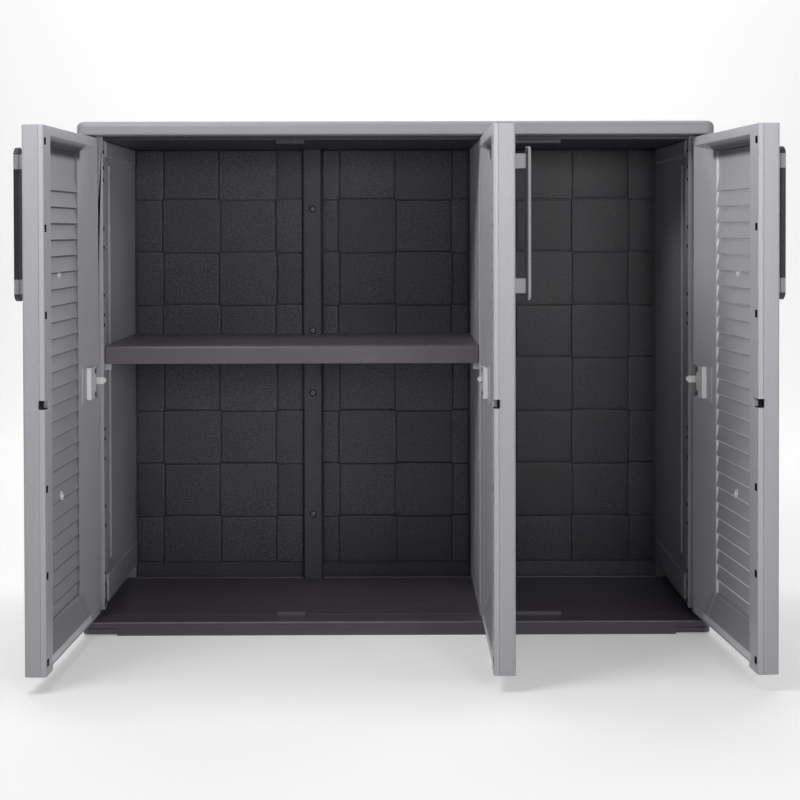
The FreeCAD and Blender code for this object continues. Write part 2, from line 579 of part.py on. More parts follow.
def make_back_panel(name, ends, field, phase):
    """A back panel with raised basket tiles in every other place of its grid."""
    plate = box(f"{name}_plate", ends, (BACK_PLATE, BACK), (FLOOR, CEILING))
    middle = f"(({field[0]} + {field[1]}) / 2)"
    across = [field[0], f"{middle} - dim.tile_wide", middle, f"{middle} + dim.tile_wide", field[1]]
    rows = [f"dim.tile_middle + {k} * dim.tile_high" for k in range(-3, 4)]
    up = [TILE_LOW] + rows + [f"{CEILING} - dim.tile_gap"]
    tiles = []
    for column in range(len(across) - 1):
        for row in range(len(up) - 1):
            if (column + row + phase) % 2 == 0:
                x = (f"{across[column]} + dim.tile_gap", f"{across[column + 1]} - dim.tile_gap")
                z = (f"{up[row]} + dim.tile_gap", f"{up[row + 1]} - dim.tile_gap")
                tiles.append(box(f"{name}_tile_{column}_{row}", x, (TILE_FACE, BACK_PLATE), z))
    front = num(TILE_FACE)
    soft = [rounded(f"{tile.Name}_soft", tile, "dim.tile_edge", lambda e: e.BoundBox.YMax < front + 0.01)
            for tile in tiles]
    solid = fuse(f"{name}_solid", [plate] + soft)
    across_panel = (f"{ends[0]} - {OVER}", f"{ends[1]} + {OVER}")
    tools = [box(f"{name}_kick", across_panel, (f"{BACK_PLATE} - {OVER}", f"{BACK_PLATE} + dim.kick_sink"),
                 (f"{FLOOR} - {OVER}", TILE_LOW))]
    if name != "back_panel_left":
        tools.append(box(f"{name}_channel",
                         (f"{DIVIDER_LEFT} - dim.channel_gap", f"{DIVIDER_RIGHT} + dim.channel_gap"),
                         (f"{BACK_PLATE} - {OVER}", f"{BACK_PLATE} + dim.channel_deep"),
                         ("0", "dim.total_height")))
    if name != "back_panel_right":
        tools += column_rods(f"{name}_bore", "dim.screw_shank + dim.seat_play",
                             (f"{TILE_FACE} - {OVER}", BACK))
    keep(cut(name, solid, tools), name)


def column_heights():
    return [f"{MID_HIGH} + {side} * dim.column_screw_{which}"
            for which in ("inner", "outer") for side in (-1, 1)]


def column_rods(name, radius, ends):
    return [rod(f"{name}_{i}", radius, "Y", ends, x=f"-{MIDDLE_AXIS}", z=height)
            for i, height in enumerate(column_heights())]


def make_back():
    outer = f"({WALL_IN} - dim.wall_play)"
    first = f"({WALL_IN} - dim.tile_margin)"
    joint = "dim.panel_gap / 2"
    half_column = "(dim.column_wide / 2 + dim.panel_gap)"
    make_back_panel("back_panel_left", (f"-{outer}", f"-{MIDDLE_AXIS} - {joint}"),
                    (f"-{first}", f"-{MIDDLE_AXIS} - {half_column}"), 1)
    make_back_panel("back_panel_centre", (f"-{MIDDLE_AXIS} + {joint}", f"{MIDDLE_AXIS} - {joint}"),
                    (f"-{MIDDLE_AXIS} + {half_column}", f"({DIVIDER_LEFT} - dim.channel_gap)"), 1)
    make_back_panel("back_panel_right", (f"{MIDDLE_AXIS} + {joint}", outer),
                    (f"({DIVIDER_RIGHT} + dim.channel_gap)", first), 0)
    sides = (f"-{MIDDLE_AXIS} - dim.column_wide / 2", f"-{MIDDLE_AXIS} + dim.column_wide / 2")
    strip = outline_body("column_strip", "XY_Plane",
                         rectangle(sides, (f"{TILE_FACE} - dim.column_deep", BACK_PLATE)),
                         FLOOR, CEILING)
    face = num(f"{TILE_FACE} - dim.column_deep")
    body_fillet(strip, "dim.column_edge", lambda e: is_upright(e) and e.BoundBox.YMax < face + 0.01)
    face_y = f"({TILE_FACE} - dim.column_deep)"
    seat_y = f"({face_y} + dim.counterbore_deep)"
    bores = column_rods("column_bore", "dim.screw_shank + dim.seat_play", (f"{face_y} - {OVER}", BACK))
    wells = column_rods("column_well", "dim.counterbore", (f"{face_y} - {OVER}", seat_y))
    keep(cut("back_column", strip, bores + wells), "back_column")
    heads = column_rods("column_head", "dim.screw_head", (f"{seat_y} - dim.screw_head_high", seat_y))
    shanks = column_rods("column_shank", "dim.screw_shank", (seat_y, f"{BACK} - dim.tile_proud"))
    keep(fuse("back_column_screws", heads + shanks), "back_column_screws")


def make_shelf():
    left, right = f"-({WALL_IN} - dim.shelf_play)", f"({DIVIDER_LEFT} - dim.shelf_play)"
    front, back = f"({FRONT} + dim.shelf_front)", f"({TILE_FACE} - dim.shelf_play)"
    notch_left = f"(-{MIDDLE_AXIS} - dim.column_wide / 2 - dim.shelf_play)"
    notch_right = f"(-{MIDDLE_AXIS} + dim.column_wide / 2 + dim.shelf_play)"
    notch_back = f"({TILE_FACE} - dim.column_deep - dim.screw_head_high - dim.shelf_play)"
    points = [(left, front), (right, front), (right, back), (notch_right, back), (notch_right, notch_back),
              (notch_left, notch_back), (notch_left, back), (left, back)]
    plate = outline_body("shelf_plate", "XY_Plane", points, SHELF_LOW, "dim.shelf_top")
    top, edge_y = num("dim.shelf_top"), num(front)
    body_fillet(plate, "dim.shelf_nose",
                lambda e: e.BoundBox.ZMin > top - 0.01 and e.BoundBox.YMax < edge_y + 0.01)
    columns = 5
    pitch = f"(({right} - {left} - dim.shelf_rim) / {columns})"
    corings = []
    for i in range(columns):
        x_low = f"{left} + dim.shelf_rim + {pitch} * {i}"
        corings.append(box(f"shelf_coring_{i}", (x_low, f"{x_low} + {pitch} - dim.shelf_rim"),
                           (f"{front} + dim.shelf_rim", f"{notch_back} - dim.shelf_rim"),
                           (f"{SHELF_LOW} - {OVER}", "dim.shelf_top - dim.shelf_skin")))
    keep(cut("shelf", plate, corings), "shelf")
    pegs = []
    for side, hand, face in (("wall", -1, WALL_IN), ("divider", 1, DIVIDER_LEFT)):
        for where in ("front", "back"):
            y = f"{FRONT} + dim.peg_{where}"
            pegs.append(box(f"peg_{side}_{where}", span(hand, f"{face} - dim.peg_size", face),
                            (f"{y} - dim.peg_size / 2", f"{y} + dim.peg_size / 2"),
                            (f"{SHELF_LOW} - dim.peg_size", SHELF_LOW)))
            pegs.append(rod(f"spigot_{side}_{where}", "dim.peg_spigot", "X",
                            span(hand, face, f"{face} + dim.peg_size"),
                            y=y, z=f"{SHELF_LOW} - dim.peg_size / 2"))
    keep(fuse("shelf_pegs", pegs), "shelf_pegs")


def make_clip(side, x, inner, inward, plate_x):
    """The cabinet half of a middle hinge: a plate in the post, an arm and the hinge pin."""
    name = f"hinge_clip_{side}"
    high = "dim.hinge_high"
    arm_z = (f"{high} - dim.arm_half", f"{high} + dim.arm_half")
    arm_y = (AXIS_Y, f"{FRONT} + dim.clip_plate")
    arm_x = (f"{x} - dim.knuckle_radius / 2", f"{x} + dim.knuckle_radius / 2")
    arm = box(f"{name}_arm", arm_x, arm_y, arm_z)
    eye = rod(f"{name}_eye", "dim.knuckle_radius", "Z", arm_z, x, AXIS_Y)
    reach = "(dim.arm_half + dim.arm_gap + dim.knuckle_high)"
    pin = rod(f"{name}_pin", "dim.hinge_pin", "Z", (f"{high} - {reach}", f"{high} + {reach}"), x, AXIS_Y)
    plate = box(f"{name}_plate", plate_x, (FRONT, f"{FRONT} + dim.clip_plate"),
                (f"{high} - dim.clip_plate_half", f"{high} + dim.clip_plate_half"))
    tab_x = (inner, f"{inner} + dim.clip_tab") if inward > 0 else (f"{inner} - dim.clip_tab", inner)
    tab = box(f"{name}_tab", tab_x, (FRONT, f"{FRONT} + dim.clip_tab_deep"),
              (f"{high} - dim.clip_tab_half", f"{high} + dim.clip_tab_half"))
    head_x = (tab_x[1], f"{tab_x[1]} + dim.clip_tab")
    if inward < 0:
        head_x = (f"{tab_x[0]} - dim.clip_tab", tab_x[0])
    head = rod(f"{name}_head", "dim.clip_head", "X", head_x, y=f"{FRONT} + dim.clip_tab_deep / 2", z=high)
    keep(fuse(name, [arm, eye, pin, plate, tab, head]), name)


def make_clips():
    outer = f"({AXIS_X} + dim.knuckle_radius / 2)"
    make_clip("left", f"-{AXIS_X}", f"-{WALL_IN}", 1, (f"-{outer}", f"-{WALL_IN}"))
    make_clip("middle", MIDDLE_AXIS, DIVIDER_LEFT, -1,
              (DIVIDER_LEFT, f"{DIVIDER_RIGHT} - dim.wall_tongue / 2"))
    make_clip("right", AXIS_X, WALL_IN, -1, (WALL_IN, outer))


def louvres(name, hand, s, z_plate, floor, outward, thick):
    """A louvred plate: wedge-shaped slats one above another on a flat plate."""
    x = span(hand, *s)
    back = f"{floor} - {outward} * {thick}"
    plate = sorted((floor, back), key=num)
    body = outline_body(name, "YZ_Plane", rectangle(plate, z_plate), *x)
    slat = body.newObject("Sketcher::SketchObject", f"{name}_slat_sketch")
    support = next(f for f in body.Origin.OriginFeatures if f.Role == "YZ_Plane")
    slat.AttachmentSupport = [(support, "")]
    slat.MapMode = "FlatFace"
    slat.setExpression("AttachmentOffset.Base.z", x[0])
    root = f"{floor} - {outward} * 0.5"
    tip = f"{floor} + {outward} * dim.slat_rise"
    low, high = SLAT_FIRST, f"{SLAT_FIRST} + dim.slat_pitch - 1"
    points = [(root, low), (tip, low), (root, high)]
    corners = [FreeCAD.Vector(num(a), num(b), 0) for a, b in points]
    for i in range(3):
        slat.addGeometry(Part.LineSegment(corners[i], corners[(i + 1) % 3]), False)
    for i in range(3):
        slat.addConstraint(Sketcher.Constraint("Coincident", i, 2, (i + 1) % 3, 1))
    for i, point in enumerate(points):
        for axis, place, kind in ((0, "across", "DistanceX"), (1, "up", "DistanceY")):
            number = slat.addConstraint(Sketcher.Constraint(kind, -1, 1, i, 1, num(point[axis])))
            slat.renameConstraint(number, f"{place}_{i}")
            slat.setExpression(f"Constraints.{place}_{i}", point[axis])
    pad = body.newObject("PartDesign::Pad", f"{name}_slat")
    pad.Profile = slat
    pad.setExpression("Length", f"({x[1]}) - ({x[0]})")
    doc.recompute()
    pattern = body.newObject("PartDesign::LinearPattern", f"{name}_slats")
    pattern.Originals = [pad]
    pattern.Direction = (slat, ["V_Axis"])
    pattern.setExpression("Occurrences", SLAT_COUNT)
    pattern.setExpression("Length", f"dim.slat_pitch * ({SLAT_COUNT} - 1)")
    body.Tip = pattern
    doc.recompute()
    return body


def door_blank(name, hand):
    """The door's whole outer form: a slab, a round hinge end and the longer free stile."""
    z = (DOOR_LOW, DOOR_TOP)
    slab = box(f"{name}_slab", span(hand, "0", FREE), (f"-{HALF}", HALF), z)
    nose = rod(f"{name}_nose", HALF, "Z", z)
    stile = box(f"{name}_stile", span(hand, f"{FREE} - dim.stile_wide", FREE), (f"-{HALF}", HALF),
                ("dim.base_high + dim.stile_lift", DOOR_TOP))
    solid = fuse(f"{name}_solid", [slab, nose, stile])
    solid.Refine = True
    far = num(FREE)
    return rounded(f"{name}_form", solid, "dim.door_edge",
                   lambda e: is_upright(e) and abs(abs(e.BoundBox.XMax) - far) < 0.01)


def snap_slots(name, hand):
    """Snap slots up both stiles, evenly spaced either side of the middle hinge."""
    slots = []
    edge = f"{FREE} - dim.clip_free_edge"
    free = (f"{edge} - dim.clip_slot / 2", f"{edge} + dim.clip_slot / 2")
    hinge = (f"-{HALF} * 3 / 4", f"-{HALF} * 3 / 4 + dim.clip_hinge_wide")
    for place, s, deep in (("free", free, "dim.clip_deep"), ("hinge", hinge, "dim.clip_hinge_deep")):
        for step in (-3, -2, -1, 1, 2, 3):
            z = f"{SLOT_MIDDLE} + {step} * dim.clip_pitch"
            slots.append(box(f"{name}_slot_{place}_{step + 3}", span(hand, *s),
                             (f"{HALF} - {deep}", f"{HALF} + {OVER}"),
                             (f"{z} - dim.clip_slot / 2", f"{z} + dim.clip_slot / 2")))
    return slots


def latch_notch(name, hand):
    return box(name, span(hand, f"{FREE} - dim.notch_wide", f"{FREE} + {OVER}"),
               (f"{HALF} - dim.notch_deep", f"{HALF} + {OVER}"),
               ("dim.hinge_high - dim.notch_high / 2 - 1", "dim.hinge_high + dim.notch_high / 2 - 1"))


def handle_heights():
    """The lower and upper foot of a handle, each as a stretch of height."""
    low = "dim.handle_low + dim.foot_inset"
    high = "dim.handle_low + dim.handle_long - dim.foot_inset"
    return (low, f"{low} + dim.foot_high"), (f"{high} - dim.foot_high", high)


def handle_rods(name, hand, radius, ends):
    """Rods through both feet of a handle, square to the door."""
    side = f"{FREE} - dim.handle_place"
    return [rod(f"{name}_{i}", radius, "Y", ends, x=span(hand, side, side)[0], z=f"(({low}) + ({high})) / 2")
            for i, (low, high) in enumerate(handle_heights())]


def hinge_window(name, hand, depth, margin):
    """The space round the hinge boss."""
    return box(name, span(hand, f"-{HALF} - {OVER}", f"dim.boss_end + {margin}"), depth,
               (f"dim.hinge_high - dim.hinge_half - {margin}", f"dim.hinge_high + dim.hinge_half + {margin}"))


def make_outer_panel(name, hand, blank, place):
    node = f"{name}_outer_panel"
    shell_floor = f"(-{HALF} + dim.shell_face)"
    joint = f"({HALF} - dim.part_line)"
    inside = (shell_floor, f"{joint} + {OVER}")
    tools = [
        box(f"{name}_inner_half", span(hand, f"-{HALF} - {OVER}", f"{FREE} + {OVER}"),
            (joint, f"{HALF} + {OVER}"), ("0", "dim.total_height")),
        box(f"{name}_hollow", span(hand, "dim.hinge_stile", f"{FREE} - dim.shell_wall"), inside,
            (f"{DOOR_LOW} + dim.shell_wall", f"{DOOR_TOP} - dim.shell_wall")),
        hinge_window(f"{name}_window", hand, inside, "dim.boss_wall"),
    ]
    field_z = (f"{DOOR_LOW} + dim.outer_field_margin", f"{DOOR_TOP} - dim.outer_field_margin")
    field_s = ("dim.outer_field_start", f"{FREE} - dim.outer_field_end")
    floor = f"(-{HALF} + dim.outer_field_sink)"
    tools.append(box(f"{name}_outer_field", span(hand, *field_s), (f"-{HALF} - {OVER}", floor), field_z))
    seat = "(dim.pin_seat + dim.seat_play)"
    bore = "dim.pin_radius + dim.seat_play"
    tools.append(rod(f"{name}_top_bore", bore, "Z", (f"{DOOR_TOP} - {seat}", "dim.total_height")))
    tools.append(rod(f"{name}_low_bore", bore, "Z", ("0", f"{DOOR_LOW} + {seat}")))
    tools += handle_rods(f"{name}_face_bore", hand, "dim.handle_screw + dim.seat_play",
                         (f"-{HALF} - {OVER}", f"{shell_floor} + {OVER}"))
    tools += snap_slots(f"{name}_outer", hand)
    tools.append(latch_notch(f"{name}_outer_notch", hand))
    shell = cut(f"{node}_shell", blank, tools)
    face = louvres(f"{name}_outer_louvres", hand, field_s, field_z, floor, "-1",
                   "(dim.shell_face - dim.outer_field_sink)")
    keep(fuse(node, [shell, face]), node, place)


def make_inner_panel(name, hand, blank, place):
    node = f"{name}_inner_panel"
    joint = f"({HALF} - dim.part_line)"
    whole = ("0", "dim.total_height")
    rim_half = box(f"{name}_rim_half", span(hand, f"-{HALF} - {OVER}", f"{FREE} + {OVER}"),
                   (joint, f"{HALF} + {OVER}"), whole)
    rim = common(f"{name}_rim", blank, rim_half)
    face_s = ("dim.recess_hinge_top", f"{FREE} - dim.stile_wide")
    deep_s = ("dim.recess_hinge_low", f"{FREE} - dim.stile_wide - dim.recess_free_draft")
    face_z = (f"{DOOR_LOW} + dim.recess_low", f"{DOOR_TOP} - dim.recess_top")
    deep_z = (f"{face_z[0]} + dim.recess_low_draft", f"{face_z[1]} - dim.recess_top_draft")
    floor = f"({HALF} - dim.recess_depth)"
    wall = "dim.recess_wall"

    def wider(pair):
        return f"{pair[0]} - {wall}", f"{pair[1]} + {wall}"

    pan = frustum(f"{name}_pan", span(hand, *wider(deep_s)), wider(deep_z), span(hand, *wider(face_s)),
                  wider(face_z), (f"{floor} - {wall}", HALF))
    pan_room = box(f"{name}_pan_room", span(hand, "0", FREE), (f"-{HALF}", HALF), whole)
    pan_clear = common(f"{name}_pan_clear", pan, pan_room)
    ledge = f"({floor} + dim.recess_step)"
    space = frustum(f"{name}_recess", span(hand, *deep_s), deep_z, span(hand, *face_s), face_z, (ledge, HALF))
    well = box(f"{name}_louvre_well", span(hand, *deep_s), (floor, f"{ledge} + {OVER}"), deep_z)
    dish = cut(f"{name}_dish", fuse(f"{name}_dish_solid", [rim, pan_clear]), [space, well])
    boss_block = hinge_window(f"{name}_boss_block", hand, (f"-{HALF} + dim.shell_face", "dim.leaf_low"),
                              "dim.boss_wall")
    boss = common(f"{name}_boss", blank, boss_block)
    slats = louvres(f"{name}_inner_louvres", hand, deep_s, deep_z, floor, "1", wall)
    solid = fuse(f"{name}_inner_solid", [dish, boss, slats])
    leaf_z = ("dim.hinge_high - dim.hinge_half", "dim.hinge_high + dim.hinge_half")
    tools = [
        box(f"{name}_arm_space", span(hand, f"-{HALF} - {OVER}", "dim.leaf_start"),
            ("-dim.boss_floor", f"{HALF} + {OVER}"), leaf_z),
        box(f"{name}_leaf_space", span(hand, "dim.leaf_start - 0.1", "dim.boss_end"),
            ("dim.leaf_low", f"{HALF} + {OVER}"), leaf_z),
    ]
    tools += snap_slots(f"{name}_inner", hand)
    tools.append(latch_notch(f"{name}_inner_notch", hand))
    tools += leaf_rods(f"{name}_boss_bore", hand, "dim.screw_shank + dim.seat_play", ("0", HALF))
    keep(cut(node, solid, tools), node, place)


def leaf_rods(name, hand, radius, ends):
    side = "dim.hinge_screw_place"
    return [rod(f"{name}_{i}", radius, "Y", ends, x=span(hand, side, side)[0],
                z=f"dim.hinge_high + {sign} * dim.hinge_screw_high") for i, sign in enumerate((-1, 1))]


def make_leaf(name, hand, place):
    """The door half of the middle hinge: a flat leaf and two knuckles round the pin."""
    node = f"{name}_hinge_leaf"
    high = "dim.hinge_high"
    leaf_top = "(dim.leaf_low + dim.leaf_thick)"
    plate = box(f"{node}_plate", span(hand, "dim.leaf_start", "dim.leaf_end"), ("dim.leaf_low", leaf_top),
                (f"{high} - dim.hinge_half + 0.2", f"{high} + dim.hinge_half - 0.2"))
    start = "(dim.arm_half + dim.arm_gap)"
    pieces = [plate]
    for sign in (-1, 1):
        far = f"({start} + dim.knuckle_high)"
        ends = sorted((f"{high} + {sign} * {start}", f"{high} + {sign} * {far}"), key=num)
        pieces.append(rod(f"{node}_knuckle_{sign + 1}", "dim.knuckle_radius", "Z", ends))
        pieces.append(box(f"{node}_web_{sign + 1}", span(hand, "0", "dim.leaf_start"),
                          ("0", f"{leaf_top} - dim.leaf_step"), ends))
    solid = fuse(f"{node}_solid", pieces)
    tools = [rod(f"{node}_bore", "dim.hinge_pin + dim.pin_play", "Z",
                 (f"{high} - dim.hinge_half", f"{high} + dim.hinge_half"))]
    tools += leaf_rods(f"{node}_screw_bore", hand, "dim.screw_shank + dim.seat_play", ("0", HALF))
    keep(cut(node, solid, tools), node, place)
    heads = leaf_rods(f"{node}_head", hand, "dim.screw_head", (leaf_top, f"{leaf_top} + 1.5"))
    shanks = leaf_rods(f"{node}_shank", hand, "dim.screw_shank", ("0.5", leaf_top))
    keep(fuse(f"{name}_hinge_screws", heads + shanks), f"{name}_hinge_screws", place)


def make_pins(name, place):
    top = rod(f"{name}_top_pin", "dim.pin_radius", "Z",
              (f"{DOOR_TOP} - dim.pin_seat", f"{ROOF_LOW} + dim.pin_reach"))
    low = rod(f"{name}_low_pin", "dim.pin_radius", "Z",
              ("dim.base_high - dim.pin_reach", f"{DOOR_LOW} + dim.pin_seat"))
    keep(fuse(f"{name}_pivot_pins", [top, low]), f"{name}_pivot_pins", place)


def make_handle(name, hand, place):
    """A flat bar with round ends on two feet, its inner side faced with a dark grip."""
    node = f"{name}_handle"
    face = f"(-{HALF})"
    grip_y = (f"{face} - dim.handle_reach - dim.grip_thick", f"{face} - dim.handle_reach")
    cover_y = (f"{grip_y[0]} - dim.cover_thick", grip_y[0])
    side = f"({FREE} - dim.handle_place)"
    radius = "dim.handle_wide / 2"
    s = (f"{side} - {radius}", f"{side} + {radius}")
    x_mid = span(hand, side, side)[0]
    low, high = "dim.handle_low", "(dim.handle_low + dim.handle_long)"

    def bar(label, y):
        flat = box(f"{label}_flat", span(hand, *s), y, (f"{low} + {radius}", f"{high} - {radius}"))
        ends = [rod(f"{label}_end_{i}", radius, "Y", y, x=x_mid, z=z)
                for i, z in enumerate((f"{low} + {radius}", f"{high} - {radius}"))]
        joined = fuse(f"{label}_joined", [flat] + ends)
        joined.Refine = True
        return joined

    outer = num(cover_y[0])
    cover = rounded(f"{node}_cover", bar(f"{node}_bar", cover_y), "dim.handle_edge",
                    lambda e: e.BoundBox.YMax < outer + 0.01)
    foot_s = (f"{side} - dim.handle_foot / 2", f"{side} + dim.handle_foot / 2")
    feet = [box(f"{node}_foot_{i}", span(hand, *foot_s), (cover_y[1], face), z)
            for i, z in enumerate(handle_heights())]
    solid = fuse(f"{node}_solid", [cover] + feet)
    bores = handle_rods(f"{node}_bore", hand, "dim.handle_screw + dim.seat_play",
                        (f"{face} - dim.handle_screw_in - dim.seat_play", f"{face} + {OVER}"))
    keep(cut(node, solid, bores), node, place)
    through = (f"{grip_y[0]} - {OVER}", f"{grip_y[1]} + {OVER}")
    gaps = [box(f"{node}_grip_gap_{i}", span(hand, *foot_s), through, z)
            for i, z in enumerate(handle_heights())]
    keep(cut(f"{name}_handle_grip", bar(f"{node}_grip", grip_y), gaps), f"{name}_handle_grip", place)
    shell_floor = f"(-{HALF} + dim.shell_face)"
    heads = handle_rods(f"{node}_screw_head", hand, "dim.screw_head",
                        (shell_floor, f"{shell_floor} + dim.screw_head_high"))
    shanks = handle_rods(f"{node}_screw_shank", hand, "dim.handle_screw",
                         (f"{face} - dim.handle_screw_in", shell_floor))
    keep(fuse(f"{name}_handle_screws", heads + shanks), f"{name}_handle_screws", place)


def make_door(name, hand, x, turn):
    place = (x, AXIS_Y, turn)
    blank = door_blank(name, hand)
    make_outer_panel(name, hand, blank, place)
    make_inner_panel(name, hand, blank, place)
    make_leaf(name, hand, place)
    make_pins(name, place)
    make_handle(name, hand, place)


def check_and_write():
    """Stop on a failed or empty shape, then write each piece to its own file."""
    doc.recompute()
    bad = [o.Name for o in doc.Objects if "Invalid" in o.State or "Error" in o.State]
    if bad:
        raise RuntimeError(f"failed objects: {bad}")
    os.makedirs("parts", exist_ok=True)
    for obj in nodes:
        shape = obj.Shape
        if shape.isNull() or not shape.isValid() or not shape.Solids:
            raise RuntimeError(f"bad shape: {obj.Label}")
        shape.exportStep(f"parts/{obj.Label}.step")
        print(f"{obj.Label}: {len(shape.Solids)} solid(s), {shape.Volume / 1000:.1f} cm3")
    print(f"{len(nodes)} nodes")


make_base_tray()
make_roof()
make_side_wall("left", -1)
make_side_wall("right", 1)
make_divider()
make_back()
make_shelf()
make_clips()
for door_name, door_hand, door_x, door_turn in DOORS:
    make_door(door_name, door_hand, door_x, door_turn)
check_and_write()
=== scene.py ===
"""Garden storage cabinet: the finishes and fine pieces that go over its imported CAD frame."""

import json
import math

import bmesh
import bpy
from bpy.props import FloatProperty, FloatVectorProperty, PointerProperty
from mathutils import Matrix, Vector
from mathutils.bvhtree import BVHTree

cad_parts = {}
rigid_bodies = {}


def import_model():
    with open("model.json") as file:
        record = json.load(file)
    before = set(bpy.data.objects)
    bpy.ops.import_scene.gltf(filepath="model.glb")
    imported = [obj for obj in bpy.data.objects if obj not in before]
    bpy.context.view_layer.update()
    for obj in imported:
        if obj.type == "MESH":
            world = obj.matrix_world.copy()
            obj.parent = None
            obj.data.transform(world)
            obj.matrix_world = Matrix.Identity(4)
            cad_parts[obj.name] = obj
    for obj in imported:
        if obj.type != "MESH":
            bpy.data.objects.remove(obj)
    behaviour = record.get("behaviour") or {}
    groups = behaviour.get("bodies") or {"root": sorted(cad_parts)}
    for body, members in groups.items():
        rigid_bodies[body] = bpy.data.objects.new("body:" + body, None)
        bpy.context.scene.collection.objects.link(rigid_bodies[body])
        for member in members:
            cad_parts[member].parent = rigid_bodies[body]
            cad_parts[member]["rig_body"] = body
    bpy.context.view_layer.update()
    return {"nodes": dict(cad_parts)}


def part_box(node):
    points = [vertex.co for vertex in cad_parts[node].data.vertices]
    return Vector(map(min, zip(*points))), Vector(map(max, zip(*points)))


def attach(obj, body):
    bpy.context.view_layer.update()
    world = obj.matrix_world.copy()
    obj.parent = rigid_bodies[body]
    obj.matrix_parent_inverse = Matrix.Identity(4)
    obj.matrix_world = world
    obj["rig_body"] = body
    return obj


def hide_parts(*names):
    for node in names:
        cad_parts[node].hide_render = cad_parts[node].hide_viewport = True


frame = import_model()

bl_info = {
    "name": "Garden Storage Cabinet",
    "version": (1, 0, 0),
    "blender": (4, 5, 0),
    "location": "3D View > Sidebar > Cabinet",
    "description": "Finishes, fine pieces and studio for a three-door resin garden cabinet",
    "category": "Object",
}

NODES = frame["nodes"]
DOORS = ("left_door", "middle_door", "right_door")

# Planes and places of the frame that the fine pieces and the painted light and shade keep to, in metres

PLATE_FACE = 0.1515
SINK = 0.0040
SUNK_FACE = PLATE_FACE + SINK
TILE_ROOT = 0.0003
OVERLAP = 0.0012
FACE_TOP = 0.785
FACE_LOW = 0.046
DOOR_ROLLS = ((FACE_TOP, 0.008), (FACE_LOW, 0.006))
HINGES = {"left_door": Vector((-0.4945, -0.1585, 0)), "middle_door": Vector((0.151, -0.1585, 0)),
          "right_door": Vector((0.4945, -0.1585, 0))}
CLEAR_OF_FACE = 0.06
GATES = ((0.178, 0.585), (0.178, 0.255))
HANDLE_POSTS = ((0.5596, 0.5806), (0.7384, 0.7594))
HANDLE_BAR = 0.0075
UNDER_ROOF = 0.8
SLAT_TOP = 0.7103
SLAT_PITCH = 0.0243
# Where the painted lines at the louvres' edges start, how they drift with height and how they fade.
LINE_TOP = SLAT_TOP + 0.0027
LINE_STRETCH = 1.004
LINE_FADE = (0.0014, 0.0032)

# Where small faces lie in slots, notches and holes

PIT_AREA = 2.4e-4
HINGE_STILE = -0.155
LATCH_SLOTS = (-0.477, -0.461)
LATCH_EDGE = -0.46
NOTCH_HEIGHT, NOTCH_HALF = 0.4095, 0.012
POST_HOLES_Y, POST_HOLES_Z, POST_HOLES_X = (-0.1396, -0.1264), (0.035, 0.79), 0.478
RIGHT_WALL_INSIDE = (0.4, 0.4905)

# Bands of painted light and shade, each as its lowest, its highest and the width over which it fades: depths in Y,
# heights in Z. The slat and field edge bands hold painted shadow lines on the left and middle doors and painted
# highlight lines on the right door, the roll bands a painted shadow under the doors' top roll, the sill bands
# painted shade over the sill and a painted highlight on it, the lip bands painted highlights on the base, and
# LEDGE_FRONT ends the painted shade on the base's front face.

SLAT_DEPTHS, SLAT_HEIGHTS = (-0.4340, -0.2390, 0.0004), (0.0815, SLAT_TOP + 0.0002, 0.0002)
FIELD_EDGE_DEPTHS, FIELD_EDGE_HEIGHTS = (-0.2400, -0.2376, 0.0006), (FACE_LOW, FACE_TOP - 0.01, 0.004)
ROLL_SHADOW_DEPTHS, ROLL_SHADOW_HEIGHTS = (-0.4330, -0.2300, 0.006), (0.7665, 0.7765, 0.0105)
SILL_DEPTHS = (-0.4450, -0.2200, 0.008)
SILL_SHADE_HEIGHTS, SILL_HIGHLIGHT_HEIGHTS = (0.048, 0.076, 0.006), (0.0375, 0.0445, 0.003)
LEDGE_LIP_HIGHLIGHT_DEPTHS, LEDGE_LIP_HIGHLIGHT_HEIGHTS = (-0.18, -0.172, 0.001), (0.0202, 0.024, 0.0005)
FLOOR_LIP_HIGHLIGHT_DEPTHS, FLOOR_LIP_HIGHLIGHT_HEIGHTS = (-0.1315, -0.1255, 0.0005), (0.0205, 0.024, 0.0005)
LEDGE_FRONT = (-0.1752, -0.1745)

# How far the screws' heads rise, the radius of their shanks, and the refraction of resin

COLUMN_SCREW_RISE, HINGE_SCREW_RISE, SCREW_SHANK = 0.0016, 0.0008, 0.0018
RESIN_IOR = 1.48

# The basket back: the tiles' rows, and for each panel its columns and 1 if its first tile is a low one, else 0

TILE_ROWS = (0.0465, 0.131, 0.227, 0.323, 0.419, 0.515, 0.611, 0.707, 0.7962)
TILE_FIELDS = {
    "back_panel_left": ((-0.4705, -0.422, -0.3195, -0.217, -0.1685), 1),
    "back_panel_centre": ((-0.1335, -0.103, -0.0005, 0.102, 0.1325), 1),
    "back_panel_right": ((0.1695, 0.2175, 0.32, 0.4225, 0.4705), 0),
}


# Node trees

